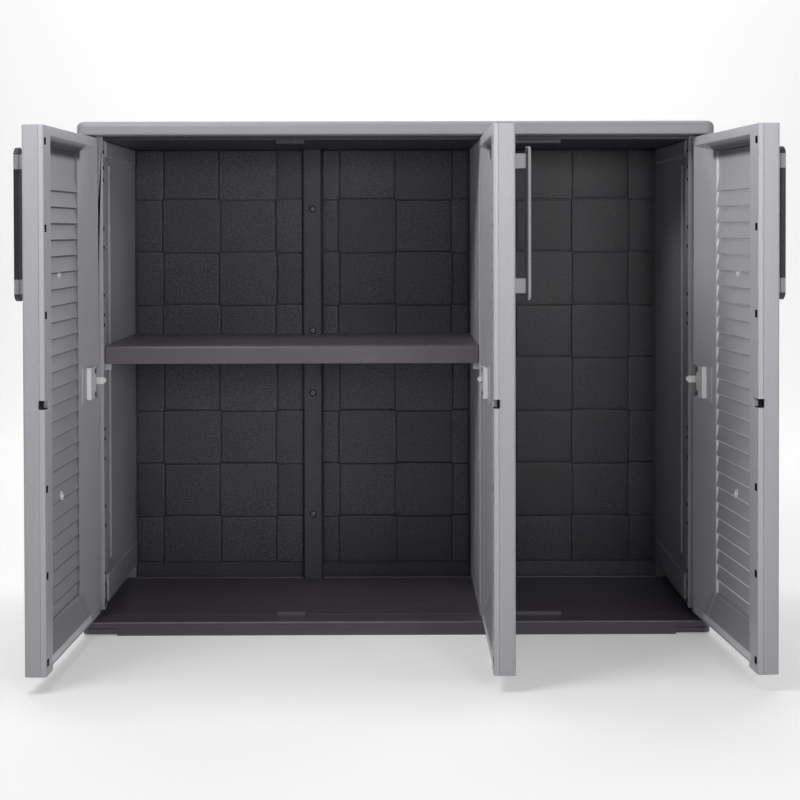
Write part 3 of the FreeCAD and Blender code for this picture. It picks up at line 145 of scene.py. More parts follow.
class Value:
    """A socket in a node tree: an expression on a number socket adds the Math nodes."""

    def __init__(self, tree, socket):
        self.tree = tree
        self.socket = socket

    def _math(self, operation, *values):
        return self.tree.node("ShaderNodeMath", {"operation": operation}, *values)

    def __add__(self, other):
        return self._math("ADD", self, other)

    def __sub__(self, other):
        return self._math("SUBTRACT", self, other)

    def __rsub__(self, other):
        return self._math("SUBTRACT", other, self)

    def __mul__(self, other):
        return self._math("MULTIPLY", self, other)

    def __rmul__(self, other):
        return self._math("MULTIPLY", other, self)

    def __truediv__(self, other):
        return self._math("DIVIDE", self, other)

    def clamped(self):
        return self.tree.node("ShaderNodeClamp", {}, self, 0.0, 1.0)

    def fraction(self):
        return self._math("FRACT", self)

    def band(self, low, high, soft):
        """1 between low and high, fading out over soft."""
        return self.step(low - soft, low) * (1.0 - self.step(high, high + soft))

    def step(self, low, high):
        """0 below low, 1 above high, smooth between."""
        smooth = {"interpolation_type": "SMOOTHSTEP"}
        return self.tree.node("ShaderNodeMapRange", smooth, self, low, high, 0.0, 1.0)


class Tree:
    """Adds and links the nodes of one tree."""

    def __init__(self, tree):
        self.tree = tree

    def node(self, kind, settings, *values, output=None, **named):
        """Adds a node, sets it, fills its inputs in order or by name, and gives its first or named output."""
        made = self.tree.nodes.new(kind)
        for key, value in settings.items():
            setattr(made, key, value)
        pairs = list(enumerate(values)) + [(key.replace("_", " "), value) for key, value in named.items()]
        for key, value in pairs:
            self.put(made.inputs[key], value)
        return Value(self, made.outputs[output] if output is not None else made.outputs[0])

    def put(self, socket, value):
        if isinstance(value, Value):
            self.tree.links.new(value.socket, socket)
        elif value is not None:
            socket.default_value = value


class Paint(Tree):
    """Builds one material's nodes."""

    def __init__(self, name, **fixed):
        self.material = bpy.data.materials.new(name)
        self.material.use_nodes = True
        super().__init__(self.material.node_tree)
        self.shader = self.tree.nodes["Principled BSDF"]
        for socket, value in fixed.items():
            self.shader.inputs[socket.replace("_", " ")].default_value = value
        self.place = self.node("ShaderNodeTexCoord", {}, output="Object")

    def mix(self, share, first, second):
        """A colour between two."""
        made = self.tree.nodes.new("ShaderNodeMix")
        made.data_type = "RGBA"
        self.put(made.inputs["Factor"], share)
        for key, colour in (("A", first), ("B", second)):
            socket = next(s for s in made.inputs if s.name == key and s.type == "RGBA")
            self.put(socket, colour if isinstance(colour, Value) else (*colour, 1.0))
        return Value(self, next(s for s in made.outputs if s.type == "RGBA"))

    def noise(self, size, detail=2.0, rough=0.5, stretch=(1, 1, 1)):
        """Soft noise from 0 to 1 with blotches about that many metres across."""
        place = self.place
        if stretch != (1, 1, 1):
            place = self.node("ShaderNodeMapping", {}, Vector=place, Scale=stretch)
        return self.node("ShaderNodeTexNoise", {}, Vector=place, Scale=1.0 / size, Detail=detail, Roughness=rough)

    def cells(self, size):
        """Distance to the nearest of scattered points about that far apart."""
        return self.node("ShaderNodeTexVoronoi", {"feature": "F1"}, Vector=self.place, Scale=1.0 / size)

    def bump(self, height, strength, depth):
        return self.node("ShaderNodeBump", {}, Strength=strength, Distance=depth, Height=height)

    def along(self, axis):
        """Distance along the cabinet's X, Y or Z."""
        return self.node("ShaderNodeSeparateXYZ", {}, self.place, output=axis)

    def height(self):
        """0 at the floor, 1 under the roof."""
        return (self.along("Z") / UNDER_ROOF).clamped()

    def patch(self, depths, heights):
        """1 within a painted band of Y and one of Z, 0 elsewhere."""
        return self.along("Y").band(*depths) * self.along("Z").band(*heights)

    def louvre_lines(self):
        """1 at each louvre's edge and along the hinge side of their field, where the painted shadow and highlight
        lines go, 0 elsewhere.
        """
        under = ((LINE_TOP - self.along("Z") * LINE_STRETCH) / SLAT_PITCH).fraction() * SLAT_PITCH
        lines = (1.0 - under.step(*LINE_FADE)) * self.patch(SLAT_DEPTHS, SLAT_HEIGHTS)
        side = self.patch(FIELD_EDGE_DEPTHS, FIELD_EDGE_HEIGHTS) * 0.8
        return (lines + side).clamped()

    def edges(self):
        """1 along raised edges, 0 elsewhere."""
        return self.node("ShaderNodeNewGeometry", {}, output="Pointiness").step(0.505, 0.56)

    def grooves(self):
        """1 in grooves and inside corners, 0 elsewhere."""
        return 1.0 - self.node("ShaderNodeNewGeometry", {}, output="Pointiness").step(0.44, 0.495)

    def finish(self, **varying):
        for socket, value in varying.items():
            self.put(self.shader.inputs[socket.replace("_", " ")], value)
        return self.material


class Web(Tree):
    """Builds one geometry node tree with named inputs."""

    KINDS = {"Geometry": "NodeSocketGeometry", "Material": "NodeSocketMaterial", "Seed": "NodeSocketInt"}

    def __init__(self, name, inputs):
        super().__init__(bpy.data.node_groups.new(name, "GeometryNodeTree"))
        self.sockets = {}
        for key in inputs:
            kind = self.KINDS.get(key, "NodeSocketFloat")
            made = self.tree.interface.new_socket(name=key, in_out="INPUT", socket_type=kind)
            self.sockets[key] = made.identifier
        self.tree.interface.new_socket(name="Geometry", in_out="OUTPUT", socket_type="NodeSocketGeometry")
        self.entry = self.tree.nodes.new("NodeGroupInput")
        self.exit = self.tree.nodes.new("NodeGroupOutput")

    def given(self, key):
        return Value(self, self.entry.outputs[key])

    def vector(self, x=0.0, y=0.0, z=0.0):
        return self.node("ShaderNodeCombineXYZ", {}, x, y, z)

    def named(self, key, kind="FLOAT"):
        return self.node("GeometryNodeInputNamedAttribute", {"data_type": kind}, Name=key)

    def random(self, low, high, label, salt):
        """A random number for each label."""
        made = self.tree.nodes.new("FunctionNodeRandomValue")
        made.data_type = "FLOAT"
        floats = [s for s in made.inputs if s.type == "VALUE" and s.enabled]
        self.put(floats[0], low)
        self.put(floats[1], high)
        self.put(made.inputs["ID"], label)
        self.put(made.inputs["Seed"], self.given("Seed") + salt)
        return Value(self, next(s for s in made.outputs if s.enabled))

    def extruded(self, mesh, chosen, direction, distance):
        """A mesh with its chosen faces drawn out one by one, and the choice of their new tops."""
        made = self.tree.nodes.new("GeometryNodeExtrudeMesh")
        made.inputs["Individual"].default_value = True
        pairs = {"Mesh": mesh, "Selection": chosen, "Offset": self.vector(*direction), "Offset Scale": distance}
        for key, value in pairs.items():
            self.put(made.inputs[key], value)
        return Value(self, made.outputs["Mesh"]), Value(self, made.outputs["Top"])

    def scaled(self, mesh, chosen, scale, **axis):
        """A mesh with its chosen faces scaled about their middles, all over or along a given Axis."""
        settings = {"domain": "FACE", "scale_mode": "SINGLE_AXIS" if axis else "UNIFORM"}
        return self.node("GeometryNodeScaleElements", settings, Geometry=mesh, Selection=chosen, Scale=scale,
                         **axis)

    def joined(self, first, *others):
        """One geometry from several."""
        made = self.node("GeometryNodeJoinGeometry", {}, first)
        for other in others:
            self.tree.links.new(other.socket, made.socket.node.inputs[0])
        return made

    def lifted(self, geometry, height):
        return self.node("GeometryNodeTransform", {}, geometry, Translation=self.vector(0.0, 0.0, height))

    def close(self, geometry):
        """Ends the tree: instances made real, shaded smooth, in the given material."""
        real = self.node("GeometryNodeRealizeInstances", {}, geometry)
        smooth = self.node("GeometryNodeSetShadeSmooth", {}, real)
        painted = self.node("GeometryNodeSetMaterial", {}, smooth, Material=self.given("Material"))
        self.tree.links.new(painted.socket, self.exit.inputs[0])

    def run(self, name, start, **values):
        """The mesh the tree makes from a starting mesh."""
        holder = bpy.data.objects.new(name + "_start", start)
        bpy.context.collection.objects.link(holder)
        modifier = holder.modifiers.new("nodes", "NODES")
        modifier.node_group = self.tree
        for key, value in values.items():
            modifier[self.sockets[key]] = value
        return evaluated(holder, name)


def evaluated(holder, name):
    """The plain mesh of an object with its modifiers applied and its shading evened; the object is removed."""
    holder.modifiers.new("even", "WEIGHTED_NORMAL").keep_sharp = False
    graph = bpy.context.evaluated_depsgraph_get()
    mesh = bpy.data.meshes.new_from_object(holder.evaluated_get(graph), depsgraph=graph)
    mesh.name = name
    start = holder.data
    bpy.data.objects.remove(holder)
    bpy.data.meshes.remove(start)
    return mesh


def shade(colour, factor):
    """A colour made paler or darker by a factor."""
    return tuple(min(1.0, channel * factor) for channel in colour)


# Finishes

def paint_resin(name, colour, looks, contrast, grain, speck=0.2, wear=0.12, by_tile=0.0, fade=0.0, grime=0.0,
                lines=None):
    """Moulded resin: faint flow marks, a fine eroded grain, edges paled partly by wear and partly by painted
    highlight, painted shade in its grooves and a satin gloss.

    speck is the strength of its small spots, by_tile how much the tiles differ and fade how much painted
    shade darkens it toward the ground. lines is the tone of the painted lines at the louvres' edges, below 1 for
    painted shadow and above 1 for painted highlight; with it come a painted shadow under the top roll and painted
    shade and a painted highlight on the sill. It is given for a door's inner face only.
    """
    paint = Paint(name, IOR=RESIN_IOR)
    cloud = paint.noise(0.11, detail=4.0, rough=0.6)
    flow = paint.noise(0.035, detail=2.0, stretch=(1.0, 1.0, 0.12))
    pits = paint.cells(looks.grain_size * 1.6)
    fine = paint.noise(looks.grain_size, detail=3.0, rough=0.65)
    freckle = paint.noise(0.0028, detail=1.0)
    tone = (cloud * 0.7 + flow * 0.3 + (freckle - 0.5) * speck * 5.0 + (fine - 0.5) * speck * 2.0
            + (pits - 0.4) * speck).clamped()
    base = paint.mix(tone, shade(colour, 1 - contrast), shade(colour, 1 + contrast))
    # Painted shade: darker toward the ground, standing for light that falls off lower down.
    if fade:
        base = paint.mix((1.0 - paint.height()) * fade, base, shade(colour, 0.4))
    if by_tile:
        tile = paint.node("ShaderNodeAttribute", {"attribute_name": "tone"}, output="Fac")
        base = paint.mix(tile * by_tile, base, shade(colour, 0.55))
    # Painted light and shade on a door's inner face: lines at the louvres' edges, painted shadow where lines is
    # below 1 and painted highlight where it is above, a painted shadow under the top roll, painted shade over the
    # sill and a painted highlight on it.
    if lines:
        for mask, strength, factor in ((paint.louvre_lines(), 0.9, lines),
                                       (paint.patch(ROLL_SHADOW_DEPTHS, ROLL_SHADOW_HEIGHTS), 0.9, 0.09),
                                       (paint.patch(SILL_DEPTHS, SILL_SHADE_HEIGHTS), 0.6, 0.42),
                                       (paint.patch(SILL_DEPTHS, SILL_HIGHLIGHT_HEIGHTS), 0.75, 1.1)):
            base = paint.mix(mask * strength, base, shade(colour, factor))
    # Painted shade in grooves and inside corners.
    grimed = paint.mix(paint.grooves() * grime, base, shade(colour, 0.12))
    # Paler raised edges, partly wear and partly painted highlight.
    pale_edged = paint.mix(paint.edges() * wear, grimed, shade(colour, 1.5))
    normal = paint.bump(fine, grain, looks.grain_depth)
    rough = cloud * 0.12 + fine * 0.14 + 0.29
    return paint.finish(Base_Color=pale_edged, Roughness=rough, Normal=normal)


def grey_resin(name, tone, looks, contrast=0.09, **more):
    return paint_resin(name, shade(tuple(looks.grey), tone), looks, contrast, 0.5, **more)


def dark_resin(name, tone, looks, contrast=0.35, grain=0.8, speck=0.6, **more):
    return paint_resin(name, shade(tuple(looks.dark), tone), looks, contrast, grain, speck, **more)


def paint_floor_resin(name, colour, looks):
    """Anthracite resin that things stand on: glossier, with pale scuffs, dust, painted highlights along the lips
    at the front, painted shade on the base's front face and edges paled partly by wear and partly by painted
    highlight.
    """
    paint = Paint(name, IOR=RESIN_IOR)
    cloud = paint.noise(0.09, detail=4.0, rough=0.6)
    fine = paint.noise(looks.grain_size, detail=3.0, rough=0.65)
    smear = paint.noise(0.02, detail=5.0, rough=0.62, stretch=(0.22, 1.0, 1.0)).step(0.60, 0.74)
    dust = paint.cells(0.014).step(0.085, 0.03)
    tone = (cloud * 0.8 + (fine - 0.5) * 1.0).clamped()
    base = paint.mix(tone, shade(colour, 0.8), shade(colour, 1.22))
    rubbed = paint.mix(smear * 0.22, base, shade(colour, 3.0))
    dusty = paint.mix(dust * 0.16, rubbed, shade(colour, 5.0))
    # Painted highlights along the ledge's lip and the floor's lip.
    lip_highlights = (paint.patch(LEDGE_LIP_HIGHLIGHT_DEPTHS, LEDGE_LIP_HIGHLIGHT_HEIGHTS)
            + paint.patch(FLOOR_LIP_HIGHLIGHT_DEPTHS, FLOOR_LIP_HIGHLIGHT_HEIGHTS)).clamped()
    lip_highlit = paint.mix(lip_highlights * 0.5, dusty, shade(colour, 2.4))
    # Painted shade on the base's front face, clear of the lip highlights.
    front = 1.0 - paint.along("Y").step(*LEDGE_FRONT)
    shaded = paint.mix(front * (1.0 - lip_highlights) * 0.9, lip_highlit, shade(colour, 0.3))
    # Paler raised edges, partly wear and partly painted highlight.
    pale_edged = paint.mix(paint.edges() * 0.3, shaded, shade(colour, 2.2))
    normal = paint.bump(fine, 0.5, looks.grain_depth)
    rough = cloud * 0.16 + smear * 0.2 + 0.28
    return paint.finish(Base_Color=pale_edged, Roughness=rough, Normal=normal)


def paint_hollow(name, colour):
    """Painted shade: near-black standing for the unlit hollow seen through slots and notches."""
    paint = Paint(name, Roughness=0.8)
    return paint.finish(Base_Color=paint.mix(paint.noise(0.003), colour, shade(colour, 1.6)))


def paint_white(name, colour):
    """Smooth white hinge plastic with slight yellowing and scuffs."""
    paint = Paint(name, IOR=1.5)
    scuff = paint.noise(0.004, detail=4.0, stretch=(1, 1, 0.3)).step(0.58, 0.72)
    base = paint.mix(scuff * 0.25, colour, shade(colour, 0.72))
    normal = paint.bump(paint.noise(0.0012), 0.25, 0.0002)
    return paint.finish(Base_Color=base, Roughness=scuff * 0.2 + 0.3, Normal=normal)


def paint_steel(name, colour):
    """Zinc-plated steel with a fine turned grain and dull spots."""
    paint = Paint(name, Metallic=1.0)
    spots = paint.noise(0.0015, detail=4.0)
    base = paint.mix(spots, shade(colour, 0.75), shade(colour, 1.15))
    normal = paint.bump(paint.noise(0.0006), 0.3, 0.0001)
    return paint.finish(Base_Color=base, Roughness=spots * 0.25 + 0.28, Normal=normal)


def paint_floor(name, colour, glow):
    """The studio's pale matt floor, lit a little from within so that it stays pale."""
    paint = Paint(name, Roughness=0.9, Emission_Color=(1, 1, 1, 1), Emission_Strength=glow)
    cloud = paint.noise(0.8, detail=2.0)
    return paint.finish(Base_Color=paint.mix(cloud, shade(colour, 0.985), colour))


def dress(names, material):
    """Gives CAD nodes a finish."""
    for name in names:
        node = NODES[name]
        node.data.materials.clear()
        node.data.materials.append(material)


# Mouldings with softened edges

def merged(name):
    """A closed copy of a node's mesh, its flat faces whole."""
    made = bmesh.new()
    made.from_mesh(NODES[name].data)
    bmesh.ops.remove_doubles(made, verts=made.verts, dist=2e-6)
    bmesh.ops.dissolve_limit(made, angle_limit=math.radians(0.4), verts=made.verts, edges=made.edges)
    return made


def finished_piece(name, mesh, body, slot, *nodes):
    """Adds a mesh as a piece that rides on a body and may stand in for CAD nodes."""
    piece = bpy.data.objects.new(name, mesh)
    bpy.context.collection.objects.link(piece)
    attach(piece, body)
    if nodes:
        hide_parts(*nodes)


def body_of(name):
    return NODES[name]["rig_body"]


def moulding(name, materials, slot, edge, reshape=None, sharp=30):
    """A node's copy with edges sharper than that many degrees rounded, in its finishes.

    reshape may change the copy first and choose a finish for each face.
    """
    made = merged(name)
    if reshape:
        reshape(made)
    weight = made.edges.layers.float.new("bevel_weight_edge")
    for e in made.edges:
        if len(e.link_faces) == 2 and e.calc_face_angle(0.0) > math.radians(sharp):
            e[weight] = 1.0
    mesh = bpy.data.meshes.new(name + "_start")
    for face in made.faces:
        face.smooth = True
    made.to_mesh(mesh)
    made.free()
    for material in materials:
        mesh.materials.append(material)
    holder = bpy.data.objects.new(name + "_start", mesh)
    bpy.context.collection.objects.link(holder)
    bevel = holder.modifiers.new("edges", "BEVEL")
    bevel.limit_method = "WEIGHT"
    bevel.width = edge
    bevel.segments = 2
    bevel.use_clamp_overlap = False
    finished_piece(name + "_moulded", evaluated(holder, name + "_moulded"), body_of(name), slot, name)


def roll_door(made):
    """Moulded rolls over the top and the bottom of a door's sunk field."""
    for height, width in DOOR_ROLLS:
        found = []
        for e in made.edges:
            a, b = (v.co for v in e.verts)
            level = abs(a.z - b.z) < 1e-5 and abs(a.z - height) < 0.0003
            if level and (a - b).length > 0.15:
                found.append(e)
        bmesh.ops.bevel(made, geom=found, offset=width, offset_type="OFFSET", segments=5, profile=0.5,
                        affect="EDGES", clamp_overlap=False)


def darken_pits(made, inside):
    """Gives the small faces within slots and notches the second finish, painted shade that stands for the unlit
    hollow behind them.
    """
    for face in made.faces:
        if face.calc_area() < PIT_AREA and inside(face.calc_center_median(), face.normal):
            face.material_index = 1


def shape_inner_panel(made):
    """Gives the slots and the notch of a door's inner panel painted shade and rolls its field's ends."""
    def inside(c, n):
        in_hinge_slot = c.y > HINGE_STILE and (abs(n.z) > 0.9 or n.y < -0.9)
        in_latch_slot = LATCH_SLOTS[0] < c.y < LATCH_SLOTS[1]
        in_notch = c.y < LATCH_EDGE and abs(c.z - NOTCH_HEIGHT) < NOTCH_HALF
        return in_hinge_slot or in_latch_slot or in_notch

    darken_pits(made, inside)
    roll_door(made)


def shape_side_wall(made):
    """Gives the holes in a side wall's post painted shade, and gives the right wall's inner faces the third
    finish, a darker copy of the grey as painted shade.
    """
    def inside(c, n):
        return (POST_HOLES_Y[0] < c.y < POST_HOLES_Y[1] and POST_HOLES_Z[0] < c.z < POST_HOLES_Z[1]
                and abs(c.x) > POST_HOLES_X)

    darken_pits(made, inside)
    # The right wall's inner faces take the darker copy, as painted shade.
    near, far = RIGHT_WALL_INSIDE
    for face in made.faces:
        if face.material_index == 0 and near < face.calc_center_median().x < far:
            face.material_index = 2


def cut_at_posts(made):
    """Cuts a handle's long faces at the ends of its posts."""
    for height in (z for post in HANDLE_POSTS for z in post):
        bmesh.ops.bisect_plane(made, geom=made.verts[:] + made.edges[:] + made.faces[:], dist=1e-6,
                               plane_co=(0, 0, height), plane_no=(0, 0, 1))


def at_post(face):
    """Whether a handle's or grip's face lies at the height of a post."""
    return any(low < face.calc_center_median().z < high for low, high in HANDLE_POSTS)


def pale_grip_posts(made):
    """Gives a grip its pale second finish where the posts hold it."""
    cut_at_posts(made)
    for face in made.faces:
        if at_post(face):
            face.material_index = 1


def dark_handle_sides(side):
    """Gives a handle's bar its dark second finish on the faces across side, between and beyond its posts."""
    def reshape(made):
        cut_at_posts(made)
        bar = max(v.co.dot(side) for v in made.verts) - HANDLE_BAR
        for face in made.faces:
            across = abs(face.normal.dot(side)) < 0.8
            if across and not at_post(face) and min(v.co.dot(side) for v in face.verts) > bar:
                face.material_index = 1
    return reshape


def sink_plate(made):
    """Takes the tiles off the back panel's copy and sets its plate deeper, so that joints show between tiles."""
    for v in made.verts:
        if v.co.y < PLATE_FACE + 0.00005:
            v.co.y = SUNK_FACE
    bmesh.ops.remove_doubles(made, verts=made.verts, dist=1e-6)
    bmesh.ops.dissolve_degenerate(made, edges=made.edges, dist=1e-6)


# Basket tiles

def tile_cells(name):
    """One face for each tile of a back panel, with its sizes, its middle and whether it stands proud."""
    across, phase = TILE_FIELDS[name]
    points, faces, facts = [], [], {key: [] for key in ("wide", "high", "middle_x", "middle_z", "proud")}
    for column, (x0, x1) in enumerate(zip(across, across[1:])):
        for row, (z0, z1) in enumerate(zip(TILE_ROWS, TILE_ROWS[1:])):
            proud = float((column + row + phase) % 2 == 0)
            lap = OVERLAP if proud else -OVERLAP
            left, right = x0 - (lap if column else 0), x1 + (lap if column < len(across) - 2 else 0)
            low, high = z0 - (lap if row else 0), z1 + (lap if row < len(TILE_ROWS) - 2 else 0)
            first = len(points)
            points += [(left, 0, low), (right, 0, low), (right, 0, high), (left, 0, high)]
            faces.append((first, first + 1, first + 2, first + 3))
            for key, value in zip(facts, (right - left, high - low, (left + right) / 2, (low + high) / 2, proud)):
                facts[key].append(value)
    mesh = bpy.data.meshes.new(name + "_cells")
    mesh.from_pydata([(x, SUNK_FACE + TILE_ROOT, z) for x, _, z in points], [], faces)
    for key, values in facts.items():
        mesh.attributes.new(key, "FLOAT", "FACE").data.foreach_set("value", values)
    mesh.attributes.new("tile", "INT", "FACE").data.foreach_set("value", range(len(faces)))
    return mesh


def tile_tree():
    """Turns each cell into a closed tile with rounded edges and a slightly crowned, slightly tilted face."""
    web = Web("basket_tiles", ("Geometry", "Joint", "Low", "Proud", "Round", "Crown", "Tilt", "Seed", "Material"))
    wide, high, proud = (web.named(key) for key in ("wide", "high", "proud"))

    def inset(geometry, top, before, after):
        """Draws faces in along X and Z from one total inset to another."""
        for axis, side in (((1, 0, 0), wide), ((0, 0, 1), high)):
            scale = (side - 2.0 * after) / (side - 2.0 * before)
            geometry = web.scaled(geometry, top, scale, Axis=axis)
        return geometry

    apart = web.node("GeometryNodeSplitEdges", {}, web.given("Geometry"))
    half = web.given("Joint") * 0.5
    base = inset(apart, None, 0.0, half)
    under = web.node("GeometryNodeFlipFaces", {}, base)
    rise = web.given("Low") + proud * web.given("Proud") - web.given("Round")
    steps = [(rise, 0.0)]
    turns = [math.radians(a) for a in (0, 30, 60, 90)]
    for a, b in zip(turns, turns[1:]):
        steps.append((web.given("Round") * (math.sin(b) - math.sin(a)), web.given("Round") * (1 - math.cos(b))))
    shape, top, before = base, None, half
    for offset, depth in steps:
        shape, top = web.extruded(shape, top, (0.0, -1.0, 0.0), offset)
        after = half + depth
        shape = inset(shape, top, before, after)
        before = after
    for share, scale in ((0.55, 0.90), (0.3, 0.84), (0.15, 0.72)):
        shape, top = web.extruded(shape, top, (0.0, -1.0, 0.0), web.given("Crown") * share)
        shape = web.scaled(shape, top, scale)
    closed = web.node("GeometryNodeMergeByDistance", {}, web.joined(shape, under), Distance=1e-6)
    place = web.node("GeometryNodeInputPosition", {})
    parts = web.node("ShaderNodeSeparateXYZ", {}, place)
    x, y, z = (Value(web, parts.socket.node.outputs[i]) for i in range(3))
    label = web.named("tile", "INT")
    lean_x = web.random(-1.0, 1.0, label, 1) * web.given("Tilt")
    lean_z = web.random(-1.0, 1.0, label, 2) * web.given("Tilt")
    front = ((SUNK_FACE - 0.0010) - y).step(0.0, 0.0005)
    push = ((x - web.named("middle_x")) * lean_x + (z - web.named("middle_z")) * lean_z) * front
    moved = web.node("GeometryNodeSetPosition", {}, closed, Offset=web.vector(0.0, push, 0.0))
    toned = web.tree.nodes.new("GeometryNodeStoreNamedAttribute")
    toned.data_type, toned.domain = "FLOAT", "POINT"
    web.put(toned.inputs["Geometry"], moved)
    toned.inputs["Name"].default_value = "tone"
    web.put(toned.inputs["Value"], web.random(0.0, 1.0, label, 5))
    web.close(Value(web, toned.outputs["Geometry"]))
    return web


def make_tiles(material, shaded):
    """Each back panel's tiles; the right panel's are in a darker copy of the tiles' finish, as painted shade."""
    web = tile_tree()
    for number, name in enumerate(TILE_FIELDS):
        finish = shaded if name == "back_panel_right" else material
        mesh = web.run(name + "_tiles", tile_cells(name), Joint=0.0024, Low=0.0044, Proud=0.0022, Round=0.0012,
                       Crown=0.0006, Tilt=0.006, Seed=number, Material=finish)
        finished_piece(name + "_tiles", mesh, body_of(name), "anthracite_resin")


# Screws

def shells(name):
    """The corners of each loose shell of a node, in the same order on every run."""
    made = merged(name)
    left, found = set(made.verts), []
    while left:
        shell, waiting = set(), [left.pop()]
        while waiting:
            v = waiting.pop()
            shell.add(v)
            for e in v.link_edges:
                other = e.other_vert(v)
                if other in left:
                    left.discard(other)
                    waiting.append(other)
        found.append(sorted((v.co.copy() for v in shell), key=tuple))
    made.free()
    return sorted(found, key=lambda spots: tuple(spots[0]))


def screw_tree():
    """A cross-recess pan head with its shank on every point, turned to the point's facing and spun at random."""
    web = Web("cross_screws", ("Geometry", "Head", "Rise", "Shank", "Length", "Recess", "Seed", "Material"))
    disc = web.node("GeometryNodeMeshCircle", {"fill_type": "NGON"}, Vertices=24, Radius=web.given("Head"))
    under = web.node("GeometryNodeFlipFaces", {}, disc)
    shape, top = disc, None
    for share, scale in ((0.35, 1.0), (0.3, 0.94), (0.22, 0.86), (0.13, 0.72)):
        shape, top = web.extruded(shape, top, (0.0, 0.0, 1.0), web.given("Rise") * share)
        shape = web.scaled(shape, top, scale)
    head = web.node("GeometryNodeMergeByDistance", {}, web.joined(shape, under), Distance=1e-6)
    made = web.tree.nodes.new("GeometryNodeMeshBoolean")
    made.operation = "DIFFERENCE"
    made.solver = "EXACT"
    web.put(made.inputs["Mesh 1"], head)
    long, narrow = web.given("Head") * 1.15, web.given("Head") * 0.26
    for x, y in ((long, narrow), (narrow, long)):
        arm = web.node("GeometryNodeMeshCube", {}, Size=web.vector(x, y, web.given("Recess") * 2.0))
        web.put(made.inputs["Mesh 2"], web.lifted(arm, web.given("Rise")))
    shank = web.node("GeometryNodeMeshCylinder", {"fill_type": "NGON"}, Vertices=12, Radius=web.given("Shank"),
                     Depth=web.given("Length"))
    screw = web.joined(Value(web, made.outputs["Mesh"]), web.lifted(shank, web.given("Length") * -0.5))
    facing = web.named("facing", "FLOAT_VECTOR")
    aligned = web.node("FunctionNodeAlignRotationToVector", {"axis": "Z"}, Vector=facing)
    spin = web.random(0.0, math.pi / 2, web.node("GeometryNodeInputIndex", {}), 3)
    turned = web.node("FunctionNodeRotateRotation", {"rotation_space": "LOCAL"}, aligned,
                      web.node("FunctionNodeAxisAngleToRotation", {}, Axis=(0, 0, 1), Angle=spin))
    points = web.node("GeometryNodeMeshToPoints", {}, web.given("Geometry"))
    placed = web.node("GeometryNodeInstanceOnPoints", {}, points, Instance=screw, Rotation=turned)
    web.close(placed)
    return web


def points_mesh(name, points, facing):
    """Loose points that each know which way they face."""
    mesh = bpy.data.meshes.new(name)
    mesh.from_pydata(points, [], [])
    made = mesh.attributes.new("facing", "FLOAT_VECTOR", "POINT")
    made.data.foreach_set("vector", [c for v in facing for c in v])
    return mesh


def spot_along(spots, axis):
    """A shell's middle at its top end along the axis, its length along the axis and its top's radius."""
    along = [s.dot(axis) for s in spots]
    top = max(along)
    cap = [s for s in spots if s.dot(axis) > top - 1e-4]
    middle = sum(cap, Vector()) / len(cap)
    radius = max((s - middle - axis * (s - middle).dot(axis)).length for s in cap)
    return middle, top - min(along), radius


def make_screws(web, node, axis, rise, material):
    """Detailed screws in place of a node's plain ones; axis points out of their heads, which rise that high."""
    found = [spot_along(shell, axis) for shell in shells(node)]
    seats = [middle - axis * rise for middle, _, _ in found]
    _, length, radius = found[0]
    mesh = web.run(node + "_cross", points_mesh(node, seats, [axis] * len(seats)), Head=radius, Rise=rise,
                   Shank=SCREW_SHANK, Length=length - rise, Recess=rise * 0.75, Seed=len(node), Material=material)
    finished_piece(node + "_cross", mesh, body_of(node), "screw_steel", node)


def middle_of(name):
    """The middle of a node's box."""
    low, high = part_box(name)
    return (Vector(low) + Vector(high)) / 2


def door_side(name):
    """The direction out of a door's inner face at rest, found from its inner panel."""
    made = merged(name + "_inner_panel")
    largest = max(made.faces, key=lambda f: f.calc_area() if f.normal.z ** 2 < 0.01 else 0.0)
    side = largest.normal.copy()
    made.free()
    if side.dot(middle_of(name + "_inner_panel") - middle_of(name + "_outer_panel")) < 0:
        side.negate()
    return side


# Gate marks

def ring_tree():
    """A small raised ring with a button in it on every point, laid flat on the surface there."""
    web = Web("gate_rings", ("Geometry", "Radius", "Rim", "Seed", "Material"))
    path = web.node("GeometryNodeCurvePrimitiveCircle", {}, Resolution=20, Radius=web.given("Radius"))
    rim = web.node("GeometryNodeCurvePrimitiveCircle", {}, Resolution=6, Radius=web.given("Rim"))
    ring = web.node("GeometryNodeCurveToMesh", {}, Curve=path, Profile_Curve=rim)
    button = web.node("GeometryNodeMeshIcoSphere", {}, Radius=web.given("Rim") * 1.6, Subdivisions=2)
    both = web.joined(ring, button)
    points = web.node("GeometryNodeMeshToPoints", {}, web.given("Geometry"))
    flat = web.node("FunctionNodeAlignRotationToVector", {"axis": "Z"}, Vector=web.named("facing", "FLOAT_VECTOR"))
    web.close(web.node("GeometryNodeInstanceOnPoints", {}, points, Instance=both, Rotation=flat))
    return web


def surface_spots(door, spots):
    """Where lines straight into a door's inner face meet it, at distances from its hinge line and heights."""
    side = door_side(door)
    along = Vector((side.y, -side.x, 0.0))
    if along.y > 0:
        along.negate()
    made = merged(door + "_inner_panel")
    tree = BVHTree.FromBMesh(made)
    found = []
    for reach, height in spots:
        start = HINGES[door] + along * reach + side * CLEAR_OF_FACE + Vector((0, 0, height))
        place, normal, _, _ = tree.ray_cast(start, -side)
        found.append((place, normal))
    made.free()
    return found


# The studio's lights: name, which is also their strength's setting, place, what they aim at, and size

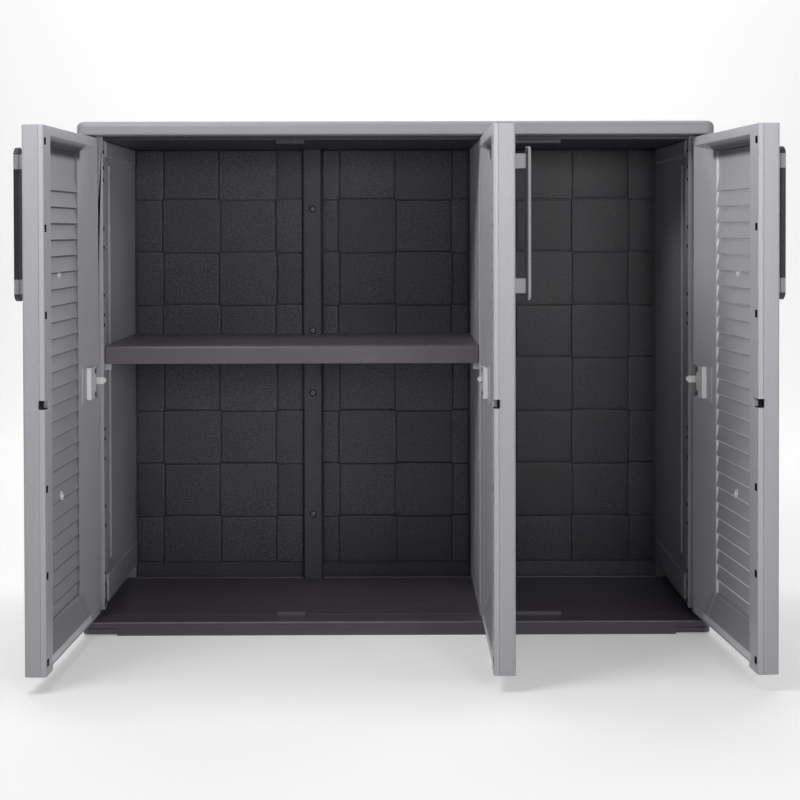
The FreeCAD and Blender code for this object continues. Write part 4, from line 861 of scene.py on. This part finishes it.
MIDDLE = (0, -0.2, 0.35)
LIGHTS = (
    ("left_light", (-1.2, -1.2, 2.0), MIDDLE, (0.8, 0.8)),
    ("right_light", (1.4, -1.3, 1.5), MIDDLE, (0.8, 0.8)),
    ("low_light", (0.8, -2.3, 0.9), MIDDLE, (0.5, 0.5)),
    ("near_light", (-0.5, -0.75, 1.45), MIDDLE, (0.4, 0.4)),
    ("near_right_light", (0.2, -0.85, 1.4), (0.5, -0.3, 0.5), (0.4, 0.4)),
    ("front_light", (0.0, -2.9, 1.0), MIDDLE, (1.4, 0.6)),
    ("backdrop_light", (0, 0.9, 3.4), (0, 2.6, 0.6), (4.0, 1.0)),
)


# Settings a user may change

def colour_setting(name, description, default):
    return FloatVectorProperty(name=name, description=description, subtype="COLOR", size=3, min=0, max=1,
                               default=default)


def length_setting(name, description, default):
    return FloatProperty(name=name, description=description, unit="LENGTH", default=default)


def angle_setting(name, description, default):
    return FloatProperty(name=name, description=description, subtype="ANGLE", default=default)


def light_setting(name, light, default):
    return FloatProperty(name=name, description="Strength of the " + light, unit="POWER", default=default)


class CabinetFinishes(bpy.types.PropertyGroup):
    grey: colour_setting("Grey resin", "Doors, walls, roof and divider", (0.53, 0.523, 0.555))
    dark: colour_setting("Anthracite resin", "Back, ceiling and grips", (0.066, 0.064, 0.078))
    tread: colour_setting("Floor resin", "Base and shelf", (0.100, 0.088, 0.104))
    white: colour_setting("Hinge plastic", "Hinge leaves and clips", (0.92, 0.92, 0.92))
    steel: colour_setting("Screw steel", "Screws and pivot pins", (0.30, 0.30, 0.31))
    grain_size: length_setting("Grain size", "Pitch of the moulded grain", 0.0011)
    grain_depth: length_setting("Grain depth", "Depth of the moulded grain", 0.00018)


class CabinetEdges(bpy.types.PropertyGroup):
    grey_edge: length_setting("Grey edges", "Rounding of the grey mouldings' edges", 0.0010)
    dark_edge: length_setting("Dark edges", "Rounding of the dark mouldings' edges", 0.0009)
    thin_edge: length_setting("Thin edges", "Rounding of the back plates' and grips' edges", 0.0006)
    small_edge: length_setting("Small edges", "Rounding of the hinge parts' and handles' edges", 0.0003)


class CabinetStudio(bpy.types.PropertyGroup):
    camera_place: FloatVectorProperty(name="Camera", description="Where the camera stands", subtype="TRANSLATION",
                                      size=3, default=(-0.0035, -2.560, 0.6483))
    camera_pitch: angle_setting("Tilt", "How far the camera looks down", 0.0157)
    camera_yaw: angle_setting("Turn", "How far the camera looks to the right", 0.0042)
    camera_roll: angle_setting("Roll", "How far the camera leans to the side", 0.0023)
    lens: FloatProperty(name="Lens", description="Focal length on a 36 mm sensor", subtype="DISTANCE_CAMERA",
                        default=67.1)
    shift: FloatProperty(name="Shift", description="Vertical shift as a share of the frame", default=-0.1814)
    floor: colour_setting("Floor", "Floor and backdrop", (0.93, 0.93, 0.93))
    left_light: light_setting("Left light", "high left light", 10.0)
    right_light: light_setting("Right light", "high right light", 3.6)
    low_light: light_setting("Low light", "low right light", 8.0)
    near_light: light_setting("Near light", "small light near the left door", 3.4)
    near_right_light: light_setting("Near right light", "small light near the right door", 1.0)
    front_light: light_setting("Front light", "light over the camera", 5.5)
    backdrop_light: light_setting("Backdrop light", "light on the backdrop", 80.0)
    glow: FloatProperty(name="Floor glow", description="Light that the floor gives off", default=0.24)
    sky: FloatProperty(name="Sky", description="How bright the surround looks to the camera", default=0.42)
    fill: FloatProperty(name="Surround", description="Strength of the even surround", default=0.02)


# Pieces

class CABINET_OT_shell(bpy.types.Operator):
    """Round and finish the walls, roof and divider"""
    bl_idname = "cabinet.shell"
    bl_label = "Walls and roof"

    def execute(self, context):
        looks, edges = context.scene.cabinet_finishes, context.scene.cabinet_edges
        resin = grey_resin("moulded_grey", 1.0, looks, fade=0.75)
        # A paler copy of the grey: painted light on the divider.
        divide = grey_resin("divider_resin", 1.2, looks, fade=0.42)
        inner = grey_resin("inner_grey_resin", 0.84, looks, fade=0.42)
        # Near-black painted shade on the faces inside slots, notches and holes.
        hollow = paint_hollow("hollow_dark", shade(tuple(looks.dark), 0.08))
        roof = grey_resin("roof_resin", 0.66, looks)
        moulding("roof_cover", [roof], "grey_resin", edges.grey_edge)
        moulding("divider_panel", [divide], "grey_resin", edges.grey_edge)
        # A darker copy of the grey: painted shade on the right wall's inner faces.
        shady = grey_resin("shaded_wall_resin", 0.5, looks, contrast=0.12, fade=0.3)
        for name in ("side_panel_left", "side_panel_right"):
            moulding(name, [inner, hollow, shady], "grey_resin", edges.grey_edge, shape_side_wall)
        dress(["shelf_pegs"], resin)
        return {"FINISHED"}


class CABINET_OT_doors(bpy.types.Operator):
    """Round and finish the door panels and handles"""
    bl_idname = "cabinet.doors"
    bl_label = "Doors"

    def execute(self, context):
        looks, edges = context.scene.cabinet_finishes, context.scene.cabinet_edges
        resin, hollow = (bpy.data.materials[name] for name in ("moulded_grey", "hollow_dark"))
        grip = dark_resin("grip_resin", 0.5, looks, contrast=0.3, speck=0.4, wear=0.2)
        # The doors' inner faces: a paler copy of the grey as painted light, with painted shadow lines at the
        # louvres of the left and middle doors and painted highlight lines on the right door, a painted shadow
        # under the top roll and painted shade and a painted highlight on the sill.
        shaded_face = grey_resin("shaded_louvre_resin", 1.15, looks, fade=0.75, lines=0.16)
        lit_face = grey_resin("lit_louvre_resin", 1.15, looks, fade=0.75, lines=1.7)
        gate = grey_resin("gate_resin", 1.7, looks, contrast=0.2)
        # A darker copy of the grey: painted shade on the handles.
        handle = grey_resin("handle_resin", 0.72, looks)
        rings = ring_tree()
        for door in DOORS:
            moulding(door + "_outer_panel", [resin], "grey_resin", edges.grey_edge)
            face = lit_face if door == "right_door" else shaded_face
            moulding(door + "_inner_panel", [face, hollow], "grey_resin", edges.grey_edge, shape_inner_panel)
            sides = None if door == "middle_door" else dark_handle_sides(-door_side(door))
            moulding(door + "_handle", [handle, grip], "grey_resin", edges.small_edge, sides, sharp=40)
            pale = None if door == "middle_door" else pale_grip_posts
            moulding(door + "_handle_grip", [grip, handle], "anthracite_resin", edges.thin_edge, pale)
            found = surface_spots(door, GATES)
            start = points_mesh(door + "_gates", [place for place, _ in found], [normal for _, normal in found])
            mesh = rings.run(door + "_gates", start, Radius=0.0056, Rim=0.0013, Seed=1, Material=gate)
            finished_piece(door + "_gate_marks", mesh, door, "grey_resin")
        return {"FINISHED"}


class CABINET_OT_inside(bpy.types.Operator):
    """Round and finish the base, ceiling, column and shelf"""
    bl_idname = "cabinet.inside"
    bl_label = "Base, ceiling and shelf"

    def execute(self, context):
        looks, edges = context.scene.cabinet_finishes, context.scene.cabinet_edges
        # The column's grooves and inside corners carry painted shade.
        column = dark_resin("column_resin", 1.0, looks, wear=0.3, grime=0.9)
        ceiling = dark_resin("ceiling_resin", 0.6, looks, wear=0.1)
        tread = paint_floor_resin("floor_resin", tuple(looks.tread), looks)
        finishes = {"base_tray": tread, "shelf": tread, "roof_liner": ceiling, "back_column": column}
        for name, finish in finishes.items():
            moulding(name, [finish], "anthracite_resin", edges.dark_edge)
        return {"FINISHED"}


class CABINET_OT_back(bpy.types.Operator):
    """Make the back's plates and its basket of tiles"""
    bl_idname = "cabinet.back"
    bl_label = "Basket back"

    def execute(self, context):
        looks, edges = context.scene.cabinet_finishes, context.scene.cabinet_edges
        plate = dark_resin("moulded_anthracite", 1.0, looks, wear=0.0)
        # tile_resin and its darker copy shaded_tile_resin, painted shade for the right bay's tiles; both paint
        # shade into the joints and highlights along the tiles' edges.
        tile, shaded = (dark_resin(name, tone, looks, 0.5, 0.9, 1.1, wear=0.6, by_tile=0.45, grime=0.9)
                        for name, tone in (("tile_resin", 1.1), ("shaded_tile_resin", 0.62)))
        for name in TILE_FIELDS:
            moulding(name, [plate], "anthracite_resin", edges.thin_edge, sink_plate)
        make_tiles(tile, shaded)
        return {"FINISHED"}


class CABINET_OT_hardware(bpy.types.Operator):
    """Make the hinges and screws"""
    bl_idname = "cabinet.hardware"
    bl_label = "Hinges and screws"

    def execute(self, context):
        looks, edges = context.scene.cabinet_finishes, context.scene.cabinet_edges
        white = paint_white("hinge_plastic", tuple(looks.white))
        steel = paint_steel("zinc_steel", tuple(looks.steel))
        for name in [n for n in NODES if n.startswith("hinge_clip") or n.endswith("hinge_leaf")]:
            moulding(name, [white], "white_plastic", edges.small_edge)
        web = screw_tree()
        make_screws(web, "back_column_screws", Vector((0, -1, 0)), COLUMN_SCREW_RISE, steel)
        for door in DOORS:
            make_screws(web, door + "_hinge_screws", door_side(door), HINGE_SCREW_RISE, steel)
        dress([n for n in NODES if n.endswith(("handle_screws", "pivot_pins"))], steel)
        return {"FINISHED"}


class CABINET_OT_studio(bpy.types.Operator):
    """Make the floor, the lights and the camera"""
    bl_idname = "cabinet.studio"
    bl_label = "Studio"

    def execute(self, context):
        studio = context.scene.cabinet_studio
        make_floor(studio)
        make_lights(context.scene, studio)
        make_camera(context.scene, studio)
        return {"FINISHED"}


def make_floor(studio):
    """A floor that curves up into a backdrop."""
    reach, back, bend, high = 6.0, 3.2, 1.2, 4.0
    profile = [(-reach, 0.0), (back - bend, 0.0)]
    steps = 16
    for i in range(1, steps + 1):
        a = math.pi / 2 * i / steps
        profile.append((back - bend + bend * math.sin(a), bend - bend * math.cos(a)))
    profile.append((back, high))
    mesh = bpy.data.meshes.new("studio_floor")
    made = bmesh.new()
    rows = [[made.verts.new((x, y, z)) for x in (-reach, reach)] for y, z in profile]
    for low, up in zip(rows, rows[1:]):
        made.faces.new((low[0], low[1], up[1], up[0]))
    made.to_mesh(mesh)
    made.free()
    mesh.materials.append(paint_floor("studio_paper", tuple(studio.floor), studio.glow))
    for face in mesh.polygons:
        face.use_smooth = True
    floor = bpy.data.objects.new("studio_floor", mesh)
    bpy.context.collection.objects.link(floor)


def area_light(name, place, target, size, power):
    light = bpy.data.lights.new(name, "AREA")
    light.shape = "RECTANGLE"
    light.size, light.size_y = size
    light.energy = power
    holder = bpy.data.objects.new(name, light)
    bpy.context.collection.objects.link(holder)
    holder.location = place
    holder.rotation_euler = (Vector(target) - Vector(place)).to_track_quat("-Z", "Y").to_euler()


def make_lights(scene, studio):
    """A faint even surround that only the camera sees as bright, and the studio's lights."""
    world = bpy.data.worlds.new("surround")
    world.use_nodes = True
    background = world.node_tree.nodes["Background"]
    background.inputs["Color"].default_value = (1, 1, 1, 1)
    web = Tree(world.node_tree)
    seen = web.node("ShaderNodeLightPath", {}, output="Is Camera Ray")
    web.put(background.inputs["Strength"], seen * studio.sky + studio.fill)
    scene.world = world
    for name, place, target, size in LIGHTS:
        area_light(name, place, target, size, getattr(studio, name))


def make_camera(scene, studio):
    lens = bpy.data.cameras.new("camera")
    lens.lens = studio.lens
    lens.sensor_width = 36.0
    lens.shift_y = studio.shift
    lens.clip_start, lens.clip_end = 0.05, 60.0
    camera = bpy.data.objects.new("camera", lens)
    bpy.context.collection.objects.link(camera)
    camera.location = studio.camera_place
    camera.rotation_euler = (math.pi / 2 - studio.camera_pitch, studio.camera_roll, -studio.camera_yaw)
    scene.camera = camera
    scene.view_settings.view_transform = "Standard"


class CABINET_PT_panel(bpy.types.Panel):
    """Lists the cabinet's pieces and settings"""
    bl_idname = "CABINET_PT_panel"
    bl_label = "Garden Cabinet"
    bl_space_type = "VIEW_3D"
    bl_region_type = "UI"
    bl_category = "Cabinet"

    def draw(self, context):
        layout = self.layout
        for operator in OPERATORS:
            layout.operator(operator.bl_idname)
        for key in GROUPS:
            group = getattr(context.scene, key)
            for name in group.bl_rna.properties.keys():
                if name not in ("name", "rna_type"):
                    layout.prop(group, name)


OPERATORS = (CABINET_OT_shell, CABINET_OT_inside, CABINET_OT_back, CABINET_OT_doors, CABINET_OT_hardware,
             CABINET_OT_studio)
GROUPS = {"cabinet_finishes": CabinetFinishes, "cabinet_edges": CabinetEdges, "cabinet_studio": CabinetStudio}


def register():
    for group in GROUPS.values():
        bpy.utils.register_class(group)
    for name, group in GROUPS.items():
        setattr(bpy.types.Scene, name, PointerProperty(type=group))
    for operator in OPERATORS:
        bpy.utils.register_class(operator)
    bpy.utils.register_class(CABINET_PT_panel)


def unregister():
    bpy.utils.unregister_class(CABINET_PT_panel)
    for operator in reversed(OPERATORS):
        bpy.utils.unregister_class(operator)
    for name in GROUPS:
        delattr(bpy.types.Scene, name)
    for group in GROUPS.values():
        bpy.utils.unregister_class(group)


def main():
    register()
    for operator in OPERATORS:
        group, name = operator.bl_idname.split(".")
        getattr(getattr(bpy.ops, group), name)()


if __name__ == "__main__":
    main()
